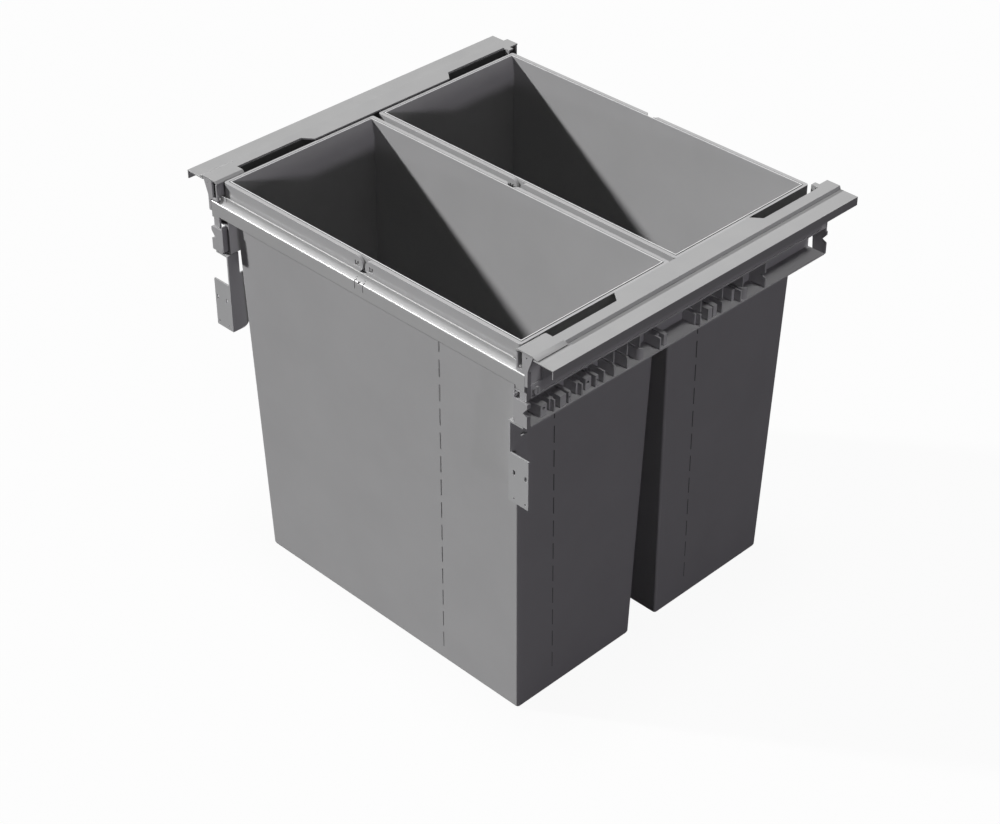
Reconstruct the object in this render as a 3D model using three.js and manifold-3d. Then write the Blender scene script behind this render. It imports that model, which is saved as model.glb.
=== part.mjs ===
// A pull-out waste-bin unit for a kitchen base cabinet: two bins hang by their rims in a carriage,
// which runs out on ball-bearing rails fixed to the cabinet sides.
// Millimetres. X runs across the cabinet, Y from the front plane to the back, Z up.
// The origin is midway between the cabinet sides, on the front plane, at mid-height of the rail lips.

import * as THREE from 'three';
import { mergeVertices } from 'three/addons/utils/BufferGeometryUtils.js';
import Module from 'manifold-3d';

const wasm = await Module();
wasm.setup();

// ---- Driving dimensions -------------------------------------------------------------------------

const GAP = 0.3;                  // clearance between two pieces that touch

// Bins
const BIN_WIDTH = 456;            // across the rim
const BIN_DEPTH = 220.5;          // front to back over the rim
const BIN_HEIGHT = 504.4;
const BIN_SPACING = 8.6;          // between the two rims
const BIN_WALL = 1.8;
const BIN_FLOOR = 2.4;
const RIM_RADIUS = 2.8;           // corners of the rim, seen from above
const LIP_SIDE = 5.5;             // flat lip on the left and right
const LIP_END = 6.8;              // flat lip at the front and back
const LIP_SHEET = 2;
const SKIRT_DEPTH = 18.7;
const SKIRT_SHEET = 1.6;
const MOUTH_TAPER = 2.1;          // the side walls draw in below the mouth
const BASE_INSET_SIDE = 18.35;    // rim edge to base edge
const BASE_INSET_END = 18.5;
const BODY_RADIUS = 3.2;          // upright corners of the bin
const BASE_ROUND = 3;             // edge between walls and floor
const BEAD_WIDTH = 1.3;           // bead round the mouth
const BEAD_GROOVE = 1.1;
const BEAD_GROOVE_DEPTH = 1.2;
const NOTCH_WIDTH = 16;           // half-round finger notch in the middle of the back lip
const NOTCH_DEPTH = 5.3;
const NOTCH_WALL = 1.2;
const LUG_PITCH = 22;             // two round lugs beside the front notch, as high as the skirt
const LUG_DEPTH = 3.6;            // the front notch, into the lip between the lugs
const TAB_SIZE = 5.5;             // snap tab in each lug
const TAB_SLIT = 1.7;
const TAB_DROP = 6.5;

// Carriage
const FRONT_MARGIN = 8.5;         // front plane to the front bin's rim
const REAR_MARGIN = 18.9;         // rear bin's rim to the back end of the covers
const COVER_PROUD = 2;            // cover above the bin rims
const COVER_STEP = 4;             // cover above the cabinet rail
const COVER_SHEET = 2;
const COVER_WIDTH = 27.8;
const COVER_CLEARANCE = 1.7;      // bin rim to cover
const COVER_EASE = 3.3;           // rounded-off inner edge at the front, seen from above
const COVER_EASE_DROP = 2.5;
const COVER_EDGE = 1.5;
const COVER_EDGE_SLANT = 1.5;     // the outer edge leans out as it drops to the cabinet rail
const CAP_LENGTH = 43.5;          // sloped end of the cover at the front
const CAP_SLOPE_START = 3.9;      // inside the cover's outer edge
const CAP_SLOPE_REACH = 2.1;      // outside the cover's outer edge
const CAP_SLOPE_LIFT = 1;         // the slope's lower edge above the cabinet rail
const GRIP_DEPTH = 12.6;          // hand cut-outs in the cover's inner edge
const GRIP_FRONT_START = 39.5;
const GRIP_LENGTH = 93;
const GRIP_SLANT = 10;
const GRIP_REAR_SETBACK = 20.5;   // back end of the cover to the rear cut-out
const TONGUE_LENGTH = 7;          // cover left behind the rear cut-out
const TONGUE_DROP = 16;
const TONGUE_INSET = 2.6;
const TAIL_INSET = 8.6;           // narrower back end of the cover

const WEB_INSET = 4.8;            // bin rim to the outer face of the profile's web
const PROFILE_SHEET = 1.6;
const PROFILE_SETBACK = 5.5;      // front plane to the side profile
const PROFILE_TAIL = 3.5;         // side profile to the back end of the covers
const WALL_OFFSET = 20;           // web to the outer face of the upper wall
const SHELF_DEPTH = 39.5;         // below the rim: step that carries the runner
const SHELF_WIDTH = 21.8;
const BOX_BOTTOM_DEPTH = 53.9;    // below the rim: roof of the open channel
const BEAD_STRIP = 1.3;           // narrow strip along the lower edge of the box
const BEAD_STRIP_HEIGHT = 1.5;
const LEDGE_DEPTH = 87;           // below the rim: floor of the open channel
const LEDGE_WIDTH = 23.3;
const TOP_FLANGE_WIDTH = 10.9;    // flange under the cover

// The channel's mouldings. Places are measured back from the front plane.
const RIB_REACH = 22.3;           // outward from the web
const RIB_SHEET = 2;
const RIB_HEIGHT = 14;            // above the channel's floor
// The rear ones are measured forward from the back end.
const FLOOR_RIBS = { front: [40.4, 80.7, 113.5, 128.8, 149, 199.5], rear: [213.5, 178, 147] };
const FLOOR_BLOCKS = [            // solid blocks as high as the ribs
  { from: 22.5, to: 31.5, reach: 20 },
  { from: 37.5, to: 43, reach: 17.5 },
  { from: 48.5, to: 57, reach: 22.3 },
  { from: 60.5, to: 64, reach: 22.3 },
  { from: 77, to: 83, reach: 17 },
  { from: 89, to: 97.5, reach: 19 },
  { from: 100.5, to: 104.5, reach: 22.3 },
  { from: 198.5, to: 205.5, reach: 14.5 },
  { from: 206.8, to: 212, reach: 20.5 },
];
const REAR_BLOCKS = [             // the same, measured forward from the back end
  { from: 217, to: 213, reach: 17 },
  { from: 200.5, to: 193.5, reach: 21.5 },
  { from: 191.5, to: 185.5, reach: 21 },
  { from: 153.5, to: 149, reach: 14.5 },
];
const ROOF_RIBS = { front: [128.8, 149, 168.5], rear: [212.5, 177.5, 143.5] };
const ROOF_RIB_DROP = 17;         // below the channel's roof
const ROOF_RIB_REACH = 21;
const ROOF_RIB_SHEET = 1.4;
const BULKHEAD_SETBACK = 105.8;   // back end to the full-height rib with a notched outer edge
const BULKHEAD_NOTCH = 7;
const CURLED_RIBS = { front: [167], rear: [143.5] }; // their outer ends curl to the back
const CURL_RADIUS = 6;
const SOCKETS = [                 // blind holes in the blocks' outer faces
  { place: 27, height: 9, reach: 20, radius: 2.2 },
  { place: 92.5, height: 8.5, reach: 19, radius: 2 },
  { place: 102.5, height: 8.5, reach: 22.3, radius: 1.4 },
  { place: 62.2, height: 7, reach: 22.3, radius: 1.2 },
];
const SOCKET_DEPTH = 6;

// Bars between the side profiles
const BAR_SHEET = 1.6;
const APRON_DEPTH = 42;           // below the rim: lower edge of the front rail
const APRON_SHEET = 1.8;
const APRON_TAB_WIDTH = 12.3;
const APRON_TAB_DROP = 3.5;
const EDGE_DROP = 6.2;            // seat to the rounded front edge
const EDGE_ROUND = 2.3;
const COVE_DROP = 2.6;            // where the cove's upright would meet its slope, below the seat
const COVE_RISE = 2.8;            // cove wall above the seat
const COVE_BACK = 3.8;            // cove wall in front of the bin rim
const SEAT_WIDTH = 6.8;
const RAIL_OVERHANG = 14.3;       // front rail past the bin rim at each end
const RAIL_CURVE_STEPS = 8;
const RAIL_HORN = 1;              // thin upright in front of the side profile, at each end
const SLIT_PITCH = 12.6;          // two slits that free the spring tongue
const SLIT_WIDTH = 1.1;
const SLIT_HEIGHT = 10.5;
const CATCH_WIDTH = 3;            // hole in the rounded edge between the slits
const CATCH_DROP = 2.6;
const DIMPLE_RADIUS = 0.7;        // two small holes in the cove above the slits
const DIMPLE_DROP = 3.4;          // below the seat
const CROSS_BAR_LEG = 21;
const CROSS_BAR_WIDTH = 17.6;

// Front and rear end plates
const PLATE_FRONT = 2.5;          // thickness in front of the fixing layer
const PLATE_BACK = 2.7;           // fixing layer behind the front rail
const FUNNEL_REACH = 25.4;        // past the bin rim, at the top
const FUNNEL_THROAT = 18.6;       // past the bin rim, below the funnel
const FUNNEL_LEAN = 0.7;
const FUNNEL_DEPTH = 19.5;
const SLOT_INNER = 4.6;           // upright slot beside the cover
const SLOT_WIDTH = 6.3;
const SLOT_DEPTH = 20.5;
const POST_WIDTH = 2;
const POST_DEPTH = 18;            // the post and the block's inner edge run back as walls
const BRIDGE_DEPTH = 27;          // below the rim: where the fixing layer starts
const PLATE_STEP_DEPTH = 23.6;    // below the rim: where the plate stops over the front rail
const THROAT_DEPTH = 38.3;        // below the rim: lower end of the upper plate
const WINDOW_REACH = 5.6;         // window beside the bin rim, above the block
const WING_DEPTH = 52;            // below the rim: where the wing draws in to the block
const WING_BEVEL = 3.6;           // slanted outer edge of the wing
const EDGE_SETBACK = 1;           // fixing layer back from the front rail's end
const BLOCK_TOP_DEPTH = 58.3;
const BLOCK_BOTTOM_DEPTH = 88.5;
const BLOCK_REACH = 18.2;
const BLOCK_INNER = 1.1;          // inside the bin rim's edge
const BLOCK_LEAN = 2.1;
const BLOCK_WALL = 1.6;           // the block's inner wall, which runs back into the channel
const BLOCK_CHAMFER = 3.6;
const BLOCK_CHAMFER_DROP = 1.5;
const NOTCH_TOP_DROP = 6;         // below the block's top: V notch that locates the carriage on a stop
const NOTCH_TIP_DROP = 13.4;
const NOTCH_END_DROP = 16.2;
const NOTCH_CUT = 6;

// Door brackets
const BRACKET_SHEET = 2;
const BRACKET_INSET = 7.2;        // bin rim to the inner face of the bracket arm
const BRACKET_FLANGE_WIDTH = 20;
const NECK_DEPTH = 15.5;
const NECK_END = 116.5;           // below the rim
const ARM_DEPTH = 24.5;
const ARM_CORNER = 10;
const TAB_TOP = 128.5;            // below the rim
const TAB_BOTTOM = 189.5;
const TAB_REACH = 26;             // door tab, outward from the arm
const DOOR_SLOT_PITCH = 16.2;
const DOOR_SLOT_RADIUS = 1.7;
const DOOR_SLOT_LENGTH = 6.4;
const DOOR_SLOT_DEPTH = 151.5;    // below the rim
const DOOR_HOLE_DEPTH = 184;
const DOOR_HOLE_RADIUS = 1.2;
const DOOR_HOLE_INSET = 5.8;      // first slot, from the arm

// Cabinet rails, middle rails and carriage rails
const SIDE_SPACE = 53;            // bin rim to cabinet side
const CABINET_LIP_HEIGHT = 10.5;
const CABINET_SHEET = 1.5;
const COVER_LAP = 3.5;            // cabinet rail's flange under the cover
const TRAVEL = 430;               // how far the carriage runs out
const TRACK_SETBACK = 40;         // front plane to the running tracks
const TRACK_TAIL = 7;             // running tracks to the back end
const TRACK_SHEET = 1.2;
const TRACK_HEIGHT = 19.9;        // inside the cabinet rail
const BALL_GAP = 2;               // between running flanges
const WEB_GAP = 1.6;              // between running webs
const BALL_RADIUS = 0.8;
const CAGE_SHEET = 0.6;
const BALLS_PER_ROW = 7;
const RUNNER_SETBACK = 22;        // front plane to the carriage rail
const RUNNER_PLATE = 3;
const RUNNER_PLATE_TOP = 6;       // below the rim
const NECK_LENGTH = 10;
const NECK_THICKNESS = 3;
const RUNNER_BAR = 5;
const MIDDLE_FLANGE = 9.7;
const CABINET_FLANGE = 11;
const BUFFER_DEPTH = 5;

// Fasteners and the height adjuster
const PIN_HOLE_RADIUS = 0.9;      // small hole at the top of the front end plate
const SCREW_RADIUS = 2;
const SCREW_HOLE_RADIUS = 2.3;
const SCREW_HEAD_RADIUS = 3.8;
const SCREW_HEAD_HEIGHT = 1.8;
const SCREW_RECESS = 0.9;
const RUNNER_SCREW_DEPTH = 32;    // below the rim
const RUNNER_SCREW_FRONT = 60;
const RUNNER_SCREW_REAR = 47;     // back end to the rear screw
const ADJUSTER_RADIUS = 4.6;
const ADJUSTER_THICKNESS = 3;
const ADJUSTER_AXLE = 1.6;
const ADJUSTER_PLACE = 13;
const ADJUSTER_DEPTH = 47;        // below the rim

// Finishes
const FINISHES = {
  binPlastic: { color: 0x8f9092, roughness: 0.55, metalness: 0.0 },
  coverPaint: { color: 0xa8a8a8, roughness: 0.42, metalness: 0.35 },
  framePlastic: { color: 0x8a8a8c, roughness: 0.5, metalness: 0.0 },
  frameSteel: { color: 0x9c9c9e, roughness: 0.35, metalness: 0.7 },
  runnerSteel: { color: 0xa2a4a6, roughness: 0.3, metalness: 0.85 },
  screwSteel: { color: 0xb4b4b6, roughness: 0.28, metalness: 0.9 },
  cagePlastic: { color: 0x3c3c40, roughness: 0.6, metalness: 0.0 },
  bufferRubber: { color: 0x2a2a2c, roughness: 0.85, metalness: 0.0 },
};

// ---- Places worked out from the driving dimensions ----------------------------------------------

const CARRIAGE_DEPTH = FRONT_MARGIN + 2 * BIN_DEPTH + BIN_SPACING + REAR_MARGIN;
const RIM_X = BIN_WIDTH / 2;
const CABINET_X = RIM_X + SIDE_SPACE;
const RUNNER_SCREW_PLACES = { front: RUNNER_SCREW_FRONT, rear: CARRIAGE_DEPTH - RUNNER_SCREW_REAR };
const CABINET_TOP = CABINET_LIP_HEIGHT / 2;
const COVER_TOP = CABINET_TOP + COVER_STEP;
const COVER_UNDER = COVER_TOP - COVER_SHEET;
const RIM_TOP = COVER_TOP - COVER_PROUD;
const below = (depth) => RIM_TOP - depth;

const BIN_FRONTS = [FRONT_MARGIN, FRONT_MARGIN + BIN_DEPTH + BIN_SPACING];
const BODY_INSET_SIDE = LIP_SIDE + MOUTH_TAPER;
const BODY_INSET_END = LIP_END - BIN_WALL + GAP;
const SEAT_TOP = below(SKIRT_DEPTH + GAP);

const WEB_X = RIM_X - WEB_INSET;
const WALL_X = WEB_X + WALL_OFFSET;
const COVER_INNER_X = RIM_X + COVER_CLEARANCE;
const COVER_OUTER_X = COVER_INNER_X + COVER_WIDTH;
const SHELF_TOP = below(SHELF_DEPTH);
const CHANNEL_ROOF = below(BOX_BOTTOM_DEPTH);
const CHANNEL_FLOOR = below(LEDGE_DEPTH);
const PROFILE_END = CARRIAGE_DEPTH - PROFILE_TAIL;
const BAR_END_X = WEB_X - PROFILE_SHEET - GAP;

const TRACK_TOP = CABINET_TOP - CABINET_SHEET;
const TRACK_MID = TRACK_TOP - TRACK_HEIGHT / 2;
const TRACK_END = CARRIAGE_DEPTH - TRACK_TAIL;
const MIDDLE_HEIGHT = TRACK_HEIGHT - 2 * BALL_GAP;
const BAR_HEIGHT = MIDDLE_HEIGHT - 2 * TRACK_SHEET - 2 * BALL_GAP;
const RUNNER_X = WALL_X + GAP + RUNNER_PLATE;
const RUNNER_BAR_X = RUNNER_X + NECK_LENGTH + RUNNER_BAR;
const MIDDLE_WEB_X = RUNNER_BAR_X + WEB_GAP + TRACK_SHEET;
const CABINET_WEB_X = MIDDLE_WEB_X + WEB_GAP + TRACK_SHEET;
const CAGE_START = TRACK_SETBACK + TRAVEL / 4 + BALL_GAP;
const CAGE_END = TRACK_END - TRAVEL / 4 - BALL_GAP;

const SIDES = { left: -1, right: 1 };

// ---- Solids: geometry in, closed solid out ------------------------------------------------------

const PLANES = {
  xy: [[1, 0, 0], [0, 1, 0], [0, 0, 1]],
  yz: [[0, 1, 0], [0, 0, 1], [1, 0, 0]],
  xz: [[1, 0, 0], [0, 0, 1], [0, -1, 0]],
};

function solidOf(geometry) {
  const bare = geometry.clone();
  bare.deleteAttribute('normal');
  bare.deleteAttribute('uv');
  const merged = mergeVertices(bare, 1e-4);
  return new wasm.Manifold(new wasm.Mesh({
    numProp: 3,
    vertProperties: new Float32Array(merged.attributes.position.array),
    triVerts: new Uint32Array(merged.index.array),
  }));
}

function meshOf(name, solid, finish) {
  const { vertProperties, triVerts } = solid.getMesh();
  const geometry = new THREE.BufferGeometry();
  geometry.setAttribute('position', new THREE.BufferAttribute(vertProperties, 3));
  geometry.setIndex(new THREE.BufferAttribute(triVerts, 1));
  geometry.computeVertexNormals();
  const mesh = new THREE.Mesh(geometry, new THREE.MeshStandardMaterial(FINISHES[finish]));
  mesh.name = name;
  return mesh;
}

const joined = (solids) => solids.reduce((whole, solid) => whole.add(solid));
const cut = (solid, cutters) => cutters.reduce((whole, cutter) => whole.subtract(cutter), solid);

// An outline in one of the row planes, drawn out along the third axis from one place to another.
function prism(shape, plane, from, to, curveSegments = 6) {
  const outline = Array.isArray(shape) ? new THREE.Shape(shape.map(([u, v]) => new THREE.Vector2(u, v))) : shape;
  const [low, high] = [Math.min(from, to), Math.max(from, to)];
  const geometry = new THREE.ExtrudeGeometry(outline, { depth: high - low, bevelEnabled: false, curveSegments });
  const [u, v, w] = PLANES[plane].map((axis) => new THREE.Vector3(...axis));
  const basis = new THREE.Matrix4().makeBasis(u, v, w);
  geometry.applyMatrix4(basis);
  const start = plane === 'xz' ? high : low;
  const along = { xy: [0, 0, start], yz: [start, 0, 0], xz: [0, start, 0] }[plane];
  geometry.translate(...along);
  return solidOf(geometry);
}

function block([x0, x1], [y0, y1], [z0, z1]) {
  const geometry = new THREE.BoxGeometry(Math.abs(x1 - x0), Math.abs(y1 - y0), Math.abs(z1 - z0));
  geometry.translate((x0 + x1) / 2, (y0 + y1) / 2, (z0 + z1) / 2);
  return solidOf(geometry);
}

function rod(axis, radius, [x, y, z], length, segments = 16) {
  const geometry = new THREE.CylinderGeometry(radius, radius, length, segments);
  if (axis === 'x') geometry.rotateZ(-Math.PI / 2);
  if (axis === 'z') geometry.rotateX(Math.PI / 2);
  geometry.translate(x, y, z);
  return solidOf(geometry);
}

// One ring of points round a rectangle with round corners, anticlockwise from above.
function roundedRing({ x, y0, y1, radius, z }, steps = 4) {
  const corners = [
    [x - radius, y0 + radius, -90],
    [x - radius, y1 - radius, 0],
    [-x + radius, y1 - radius, 90],
    [-x + radius, y0 + radius, 180],
  ];
  return corners.flatMap(([cx, cy, start]) => Array.from({ length: steps + 1 }, (_, i) => {
    const angle = THREE.MathUtils.degToRad(start + (90 * i) / steps);
    return [cx + radius * Math.cos(angle), cy + radius * Math.sin(angle), z];
  }));
}

// Rings stacked from the bottom up and closed at both ends.
function loft(sections) {
  const rings = sections.map((section) => roundedRing(section));
  const count = rings[0].length;
  const points = rings.flat();
  const index = [];
  for (let ring = 0; ring + 1 < rings.length; ring += 1) {
    for (let i = 0; i < count; i += 1) {
      const a = ring * count + i;
      const b = ring * count + ((i + 1) % count);
      index.push(a, b, b + count, a, b + count, a + count);
    }
  }
  for (let i = 1; i + 1 < count; i += 1) {
    const top = (rings.length - 1) * count;
    index.push(0, i + 1, i, top, top + i, top + i + 1);
  }
  const geometry = new THREE.BufferGeometry();
  geometry.setAttribute('position', new THREE.Float32BufferAttribute(points.flat(), 3));
  geometry.setIndex(index);
  return solidOf(geometry);
}

// ---- Bins ---------------------------------------------------------------------------------------

// The rim's rectangle drawn in by the given insets, at a height.
function binSection(front, side, end, radius, z) {
  return { x: RIM_X - side, y0: front + end, y1: front + BIN_DEPTH - end, radius, z };
}

// Wall sections from the floor up, drawn in by the wall for the cavity.
function binSections(front, wall, floor, top) {
  const round = BASE_ROUND - wall;
  const radius = BODY_RADIUS - wall;
  const steps = [0, 45, 90].map((degrees) => THREE.MathUtils.degToRad(degrees));
  const base = steps.map((angle) => {
    const draw = round * (1 - Math.sin(angle)) + wall;
    const z = below(BIN_HEIGHT) + floor + round * (1 - Math.cos(angle));
    return binSection(front, BASE_INSET_SIDE + draw, BASE_INSET_END + draw, radius, z);
  });
  return [
    ...base,
    binSection(front, BODY_INSET_SIDE + wall, BODY_INSET_END + wall, radius, below(SKIRT_DEPTH + LIP_SHEET)),
    binSection(front, LIP_SIDE - BIN_WALL + wall, LIP_END - BIN_WALL + wall, radius, top),
  ];
}

// A half-round notch, seen from above, at the middle of the back lip.
function backNotch(edge, extra) {
  const radius = ((NOTCH_WIDTH / 2) ** 2 + NOTCH_DEPTH ** 2) / (2 * NOTCH_DEPTH);
  const centre = edge + radius - NOTCH_DEPTH;
  return rod('z', radius + extra, [0, centre, below(SKIRT_DEPTH / 2)], SKIRT_DEPTH + 2 * LIP_SHEET, 32);
}

// The front notch: what lies between two round lugs, seen from the front.
function frontNotch(front) {
  const half = LUG_PITCH / 2;
  const radius = SKIRT_DEPTH / 2;
  const middle = below(radius);
  const shape = new THREE.Shape();
  shape.moveTo(-half, middle + radius + 1);
  shape.lineTo(-half, middle + radius);
  shape.absarc(-half, middle, radius, Math.PI / 2, -Math.PI / 2, true);
  shape.lineTo(-half, middle - radius - 1);
  shape.lineTo(half, middle - radius - 1);
  shape.lineTo(half, middle - radius);
  shape.absarc(half, middle, radius, -Math.PI / 2, Math.PI / 2, true);
  shape.lineTo(half, middle + radius + 1);
  shape.closePath();
  return prism(shape, 'xz', front - 1, front + LUG_DEPTH, 12);
}

// The skirt is solid behind the lugs, as deep as the notch and a wall.
function lugBacking(front) {
  const half = LUG_PITCH / 2 + NOTCH_WALL;
  return block([-half, half], [front, front + LUG_DEPTH + NOTCH_WALL], [below(SKIRT_DEPTH), RIM_TOP]);
}

function snapTabSlits(front) {
  return [-1, 1].flatMap((side) => {
    const x = (side * LUG_PITCH) / 2;
    const half = TAB_SIZE / 2;
    const z = [below(TAB_DROP + TAB_SIZE), below(TAB_DROP)];
    const y = [front - 1, front + SKIRT_SHEET + 1];
    return [
      block([x - half, x - half + TAB_SLIT], y, z),
      block([x + half - TAB_SLIT, x + half], y, z),
      block([x - half, x + half], y, [z[0], z[0] + TAB_SLIT]),
    ];
  });
}

function bin(front) {
  const rear = front + BIN_DEPTH;
  const skirtEnd = below(SKIRT_DEPTH);
  const lipUnder = below(LIP_SHEET);
  const rim = loft([binSection(front, 0, 0, RIM_RADIUS, skirtEnd), binSection(front, 0, 0, RIM_RADIUS, RIM_TOP)]);
  const pocket = loft([
    binSection(front, SKIRT_SHEET, SKIRT_SHEET, RIM_RADIUS - SKIRT_SHEET, skirtEnd - 1),
    binSection(front, SKIRT_SHEET, SKIRT_SHEET, RIM_RADIUS - SKIRT_SHEET, lipUnder),
  ]);
  const notches = [frontNotch(front), backNotch(rear, 0)];
  const notchWalls = [lugBacking(front), backNotch(rear, NOTCH_WALL).intersect(rim)];
  const body = loft(binSections(front, 0, 0, lipUnder));
  const cavity = loft(binSections(front, BIN_WALL, BIN_FLOOR, RIM_TOP + 1));
  const groove = (side, end) => loft([
    binSection(front, side, end, BODY_RADIUS - BIN_WALL, RIM_TOP - BEAD_GROOVE_DEPTH),
    binSection(front, side, end, BODY_RADIUS - BIN_WALL, RIM_TOP + 1),
  ]);
  const bead = LIP_SIDE - BEAD_WIDTH;
  const beadEnd = LIP_END - BEAD_WIDTH;
  const grooveRing = cut(groove(bead - BEAD_GROOVE, beadEnd - BEAD_GROOVE), [groove(bead, beadEnd)]);
  const shell = joined([cut(rim, [pocket]), ...notchWalls, body]);
  return cut(shell, [cavity, ...notches, grooveRing, ...snapTabSlits(front)]);
}

// ---- Bars that carry the rims -------------------------------------------------------------------

// Section of the front rail: seat, cove, rounded edge and apron. (y, z), back of the apron first.
function frontRailShape() {
  const wall = FRONT_MARGIN - COVE_BACK;
  const edge = SEAT_TOP - EDGE_DROP;
  const back = wall + BAR_SHEET;
  const shape = new THREE.Shape();
  shape.moveTo(APRON_SHEET, below(APRON_DEPTH));
  shape.lineTo(APRON_SHEET, edge - EDGE_ROUND);
  shape.lineTo(back, SEAT_TOP - 2 * BAR_SHEET);
  shape.lineTo(back, SEAT_TOP - BAR_SHEET);
  shape.lineTo(wall + SEAT_WIDTH, SEAT_TOP - BAR_SHEET);
  shape.lineTo(wall + SEAT_WIDTH, SEAT_TOP);
  shape.lineTo(back, SEAT_TOP);
  shape.lineTo(back, SEAT_TOP + COVE_RISE);
  shape.lineTo(wall, SEAT_TOP + COVE_RISE);
  shape.lineTo(wall, SEAT_TOP);
  shape.quadraticCurveTo(wall, SEAT_TOP - COVE_DROP, EDGE_ROUND + GAP, edge);
  shape.lineTo(EDGE_ROUND, edge);
  shape.quadraticCurveTo(0, edge, 0, edge - EDGE_ROUND);
  shape.lineTo(0, below(APRON_DEPTH));
  shape.closePath();
  return shape;
}

function slits() {
  const z = [SEAT_TOP - EDGE_DROP - SLIT_HEIGHT, SEAT_TOP - EDGE_DROP + 1];
  return [-1, 1].map((side) => {
    const x = (side * SLIT_PITCH) / 2;
    return block([x - SLIT_WIDTH / 2, x + SLIT_WIDTH / 2], [-1, APRON_SHEET + BAR_SHEET], z);
  });
}

// The catch's hole in the rounded edge and the two small holes in the cove.
function catchHoles() {
  const edge = SEAT_TOP - EDGE_DROP;
  const depth = 2 * FRONT_MARGIN;
  return [
    block([-CATCH_WIDTH / 2, CATCH_WIDTH / 2], [-1, EDGE_ROUND], [edge - CATCH_DROP, edge + 1]),
    ...[-1, 1].map((side) => {
      const place = [(side * SLIT_PITCH) / 2, 0, SEAT_TOP - DIMPLE_DROP];
      return rod('y', DIMPLE_RADIUS, place, depth, 10);
    }),
  ];
}

function frontRail() {
  const end = RIM_X + RAIL_OVERHANG;
  const whole = prism(frontRailShape(), 'yz', -end, end, RAIL_CURVE_STEPS);
  const clear = PROFILE_SETBACK - GAP;
  const post = RIM_X + SLOT_INNER - POST_WIDTH - GAP;
  const corners = [-1, 1].flatMap((side) => [
    block([side * BAR_END_X, side * (end + 1)], [clear, FRONT_MARGIN + SEAT_WIDTH], [below(APRON_DEPTH), RIM_TOP]),
    block([side * post, side * (end + 1)], [-1, FRONT_MARGIN + SEAT_WIDTH], [SEAT_TOP, RIM_TOP]),
  ]);
  const tabs = [-1, 1].map((side) => block(
    [side * (end - APRON_TAB_WIDTH), side * end],
    [0, APRON_SHEET],
    [below(APRON_DEPTH + APRON_TAB_DROP), below(APRON_DEPTH - 1)],
  ));
  const horns = [-1, 1].map((side) => block(
    [side * (BAR_END_X - 1), side * post],
    [clear - RAIL_HORN, clear],
    [SEAT_TOP - EDGE_DROP, SEAT_TOP + COVE_RISE],
  ));
  return joined([cut(whole, [...corners, ...slits(), ...catchHoles()]), ...tabs, ...horns]);
}

// The rear rail stands between the side profiles and turns its apron to the back.
function rearRail() {
  const rim = BIN_FRONTS[1] + BIN_DEPTH;
  const shape = [
    [rim + COVE_BACK, SEAT_TOP],
    [rim + COVE_BACK - SEAT_WIDTH, SEAT_TOP],
    [rim + COVE_BACK - SEAT_WIDTH, SEAT_TOP - BAR_SHEET],
    [rim + COVE_BACK, SEAT_TOP - BAR_SHEET],
    [rim + FRONT_MARGIN - BAR_SHEET, SEAT_TOP - EDGE_DROP - BAR_SHEET],
    [rim + FRONT_MARGIN - BAR_SHEET, below(APRON_DEPTH)],
    [rim + FRONT_MARGIN, below(APRON_DEPTH)],
    [rim + FRONT_MARGIN, SEAT_TOP - EDGE_DROP - EDGE_ROUND],
    [rim + FRONT_MARGIN - EDGE_ROUND, SEAT_TOP - EDGE_DROP],
  ];
  return prism(shape, 'yz', -BAR_END_X, BAR_END_X);
}

// An upturned channel under the two rims that meet in the middle.
function crossBar() {
  const mid = BIN_FRONTS[1] - BIN_SPACING / 2;
  const half = CROSS_BAR_WIDTH / 2;
  const under = SEAT_TOP - CROSS_BAR_LEG;
  const shape = [
    [mid - half, under],
    [mid - half + BAR_SHEET, under],
    [mid - half + BAR_SHEET, SEAT_TOP - BAR_SHEET],
    [mid + half - BAR_SHEET, SEAT_TOP - BAR_SHEET],
    [mid + half - BAR_SHEET, under],
    [mid + half, under],
    [mid + half, SEAT_TOP],
    [mid - half, SEAT_TOP],
  ];
  return prism(shape, 'yz', -BAR_END_X, BAR_END_X);
}

// ---- Side profiles ------------------------------------------------------------------------------

// Upright and level sheets of the side profile's section, as [x0, x1, z0, z1] on the right side.
function profileSheets() {
  const sheet = PROFILE_SHEET;
  const under = COVER_UNDER - GAP;
  const shelfX = WEB_X + SHELF_WIDTH;
  return [
    [WEB_X - sheet, WEB_X, CHANNEL_FLOOR - sheet, SEAT_TOP],
    [WEB_X - sheet, WALL_X, SEAT_TOP - sheet, SEAT_TOP],
    [WALL_X - sheet, WALL_X, SHELF_TOP - sheet, under],
    [WALL_X - sheet, WALL_X - sheet + TOP_FLANGE_WIDTH, under - sheet, under],
    [WEB_X - sheet, shelfX, SHELF_TOP - sheet, SHELF_TOP],
    [shelfX - sheet, shelfX, CHANNEL_ROOF, SHELF_TOP],
    [WEB_X - sheet, shelfX, CHANNEL_ROOF, CHANNEL_ROOF + sheet],
    [shelfX - sheet, shelfX + BEAD_STRIP, CHANNEL_ROOF, CHANNEL_ROOF + BEAD_STRIP_HEIGHT],
    [WEB_X - sheet, WEB_X + LEDGE_WIDTH, CHANNEL_FLOOR - sheet, CHANNEL_FLOOR],
  ];
}

// A block in the channel: from the web outward, between two places, between two heights over the floor.
function channelBlock(side, from, to, reach, [low, high]) {
  return block(
    [side * (WEB_X - GAP), side * (WEB_X + reach)],
    [from, to],
    [CHANNEL_FLOOR + low, CHANNEL_FLOOR + high],
  );
}

function channelRib(side, place, reach, sheet, heights) {
  return channelBlock(side, place - sheet / 2, place + sheet / 2, reach, heights);
}

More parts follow.
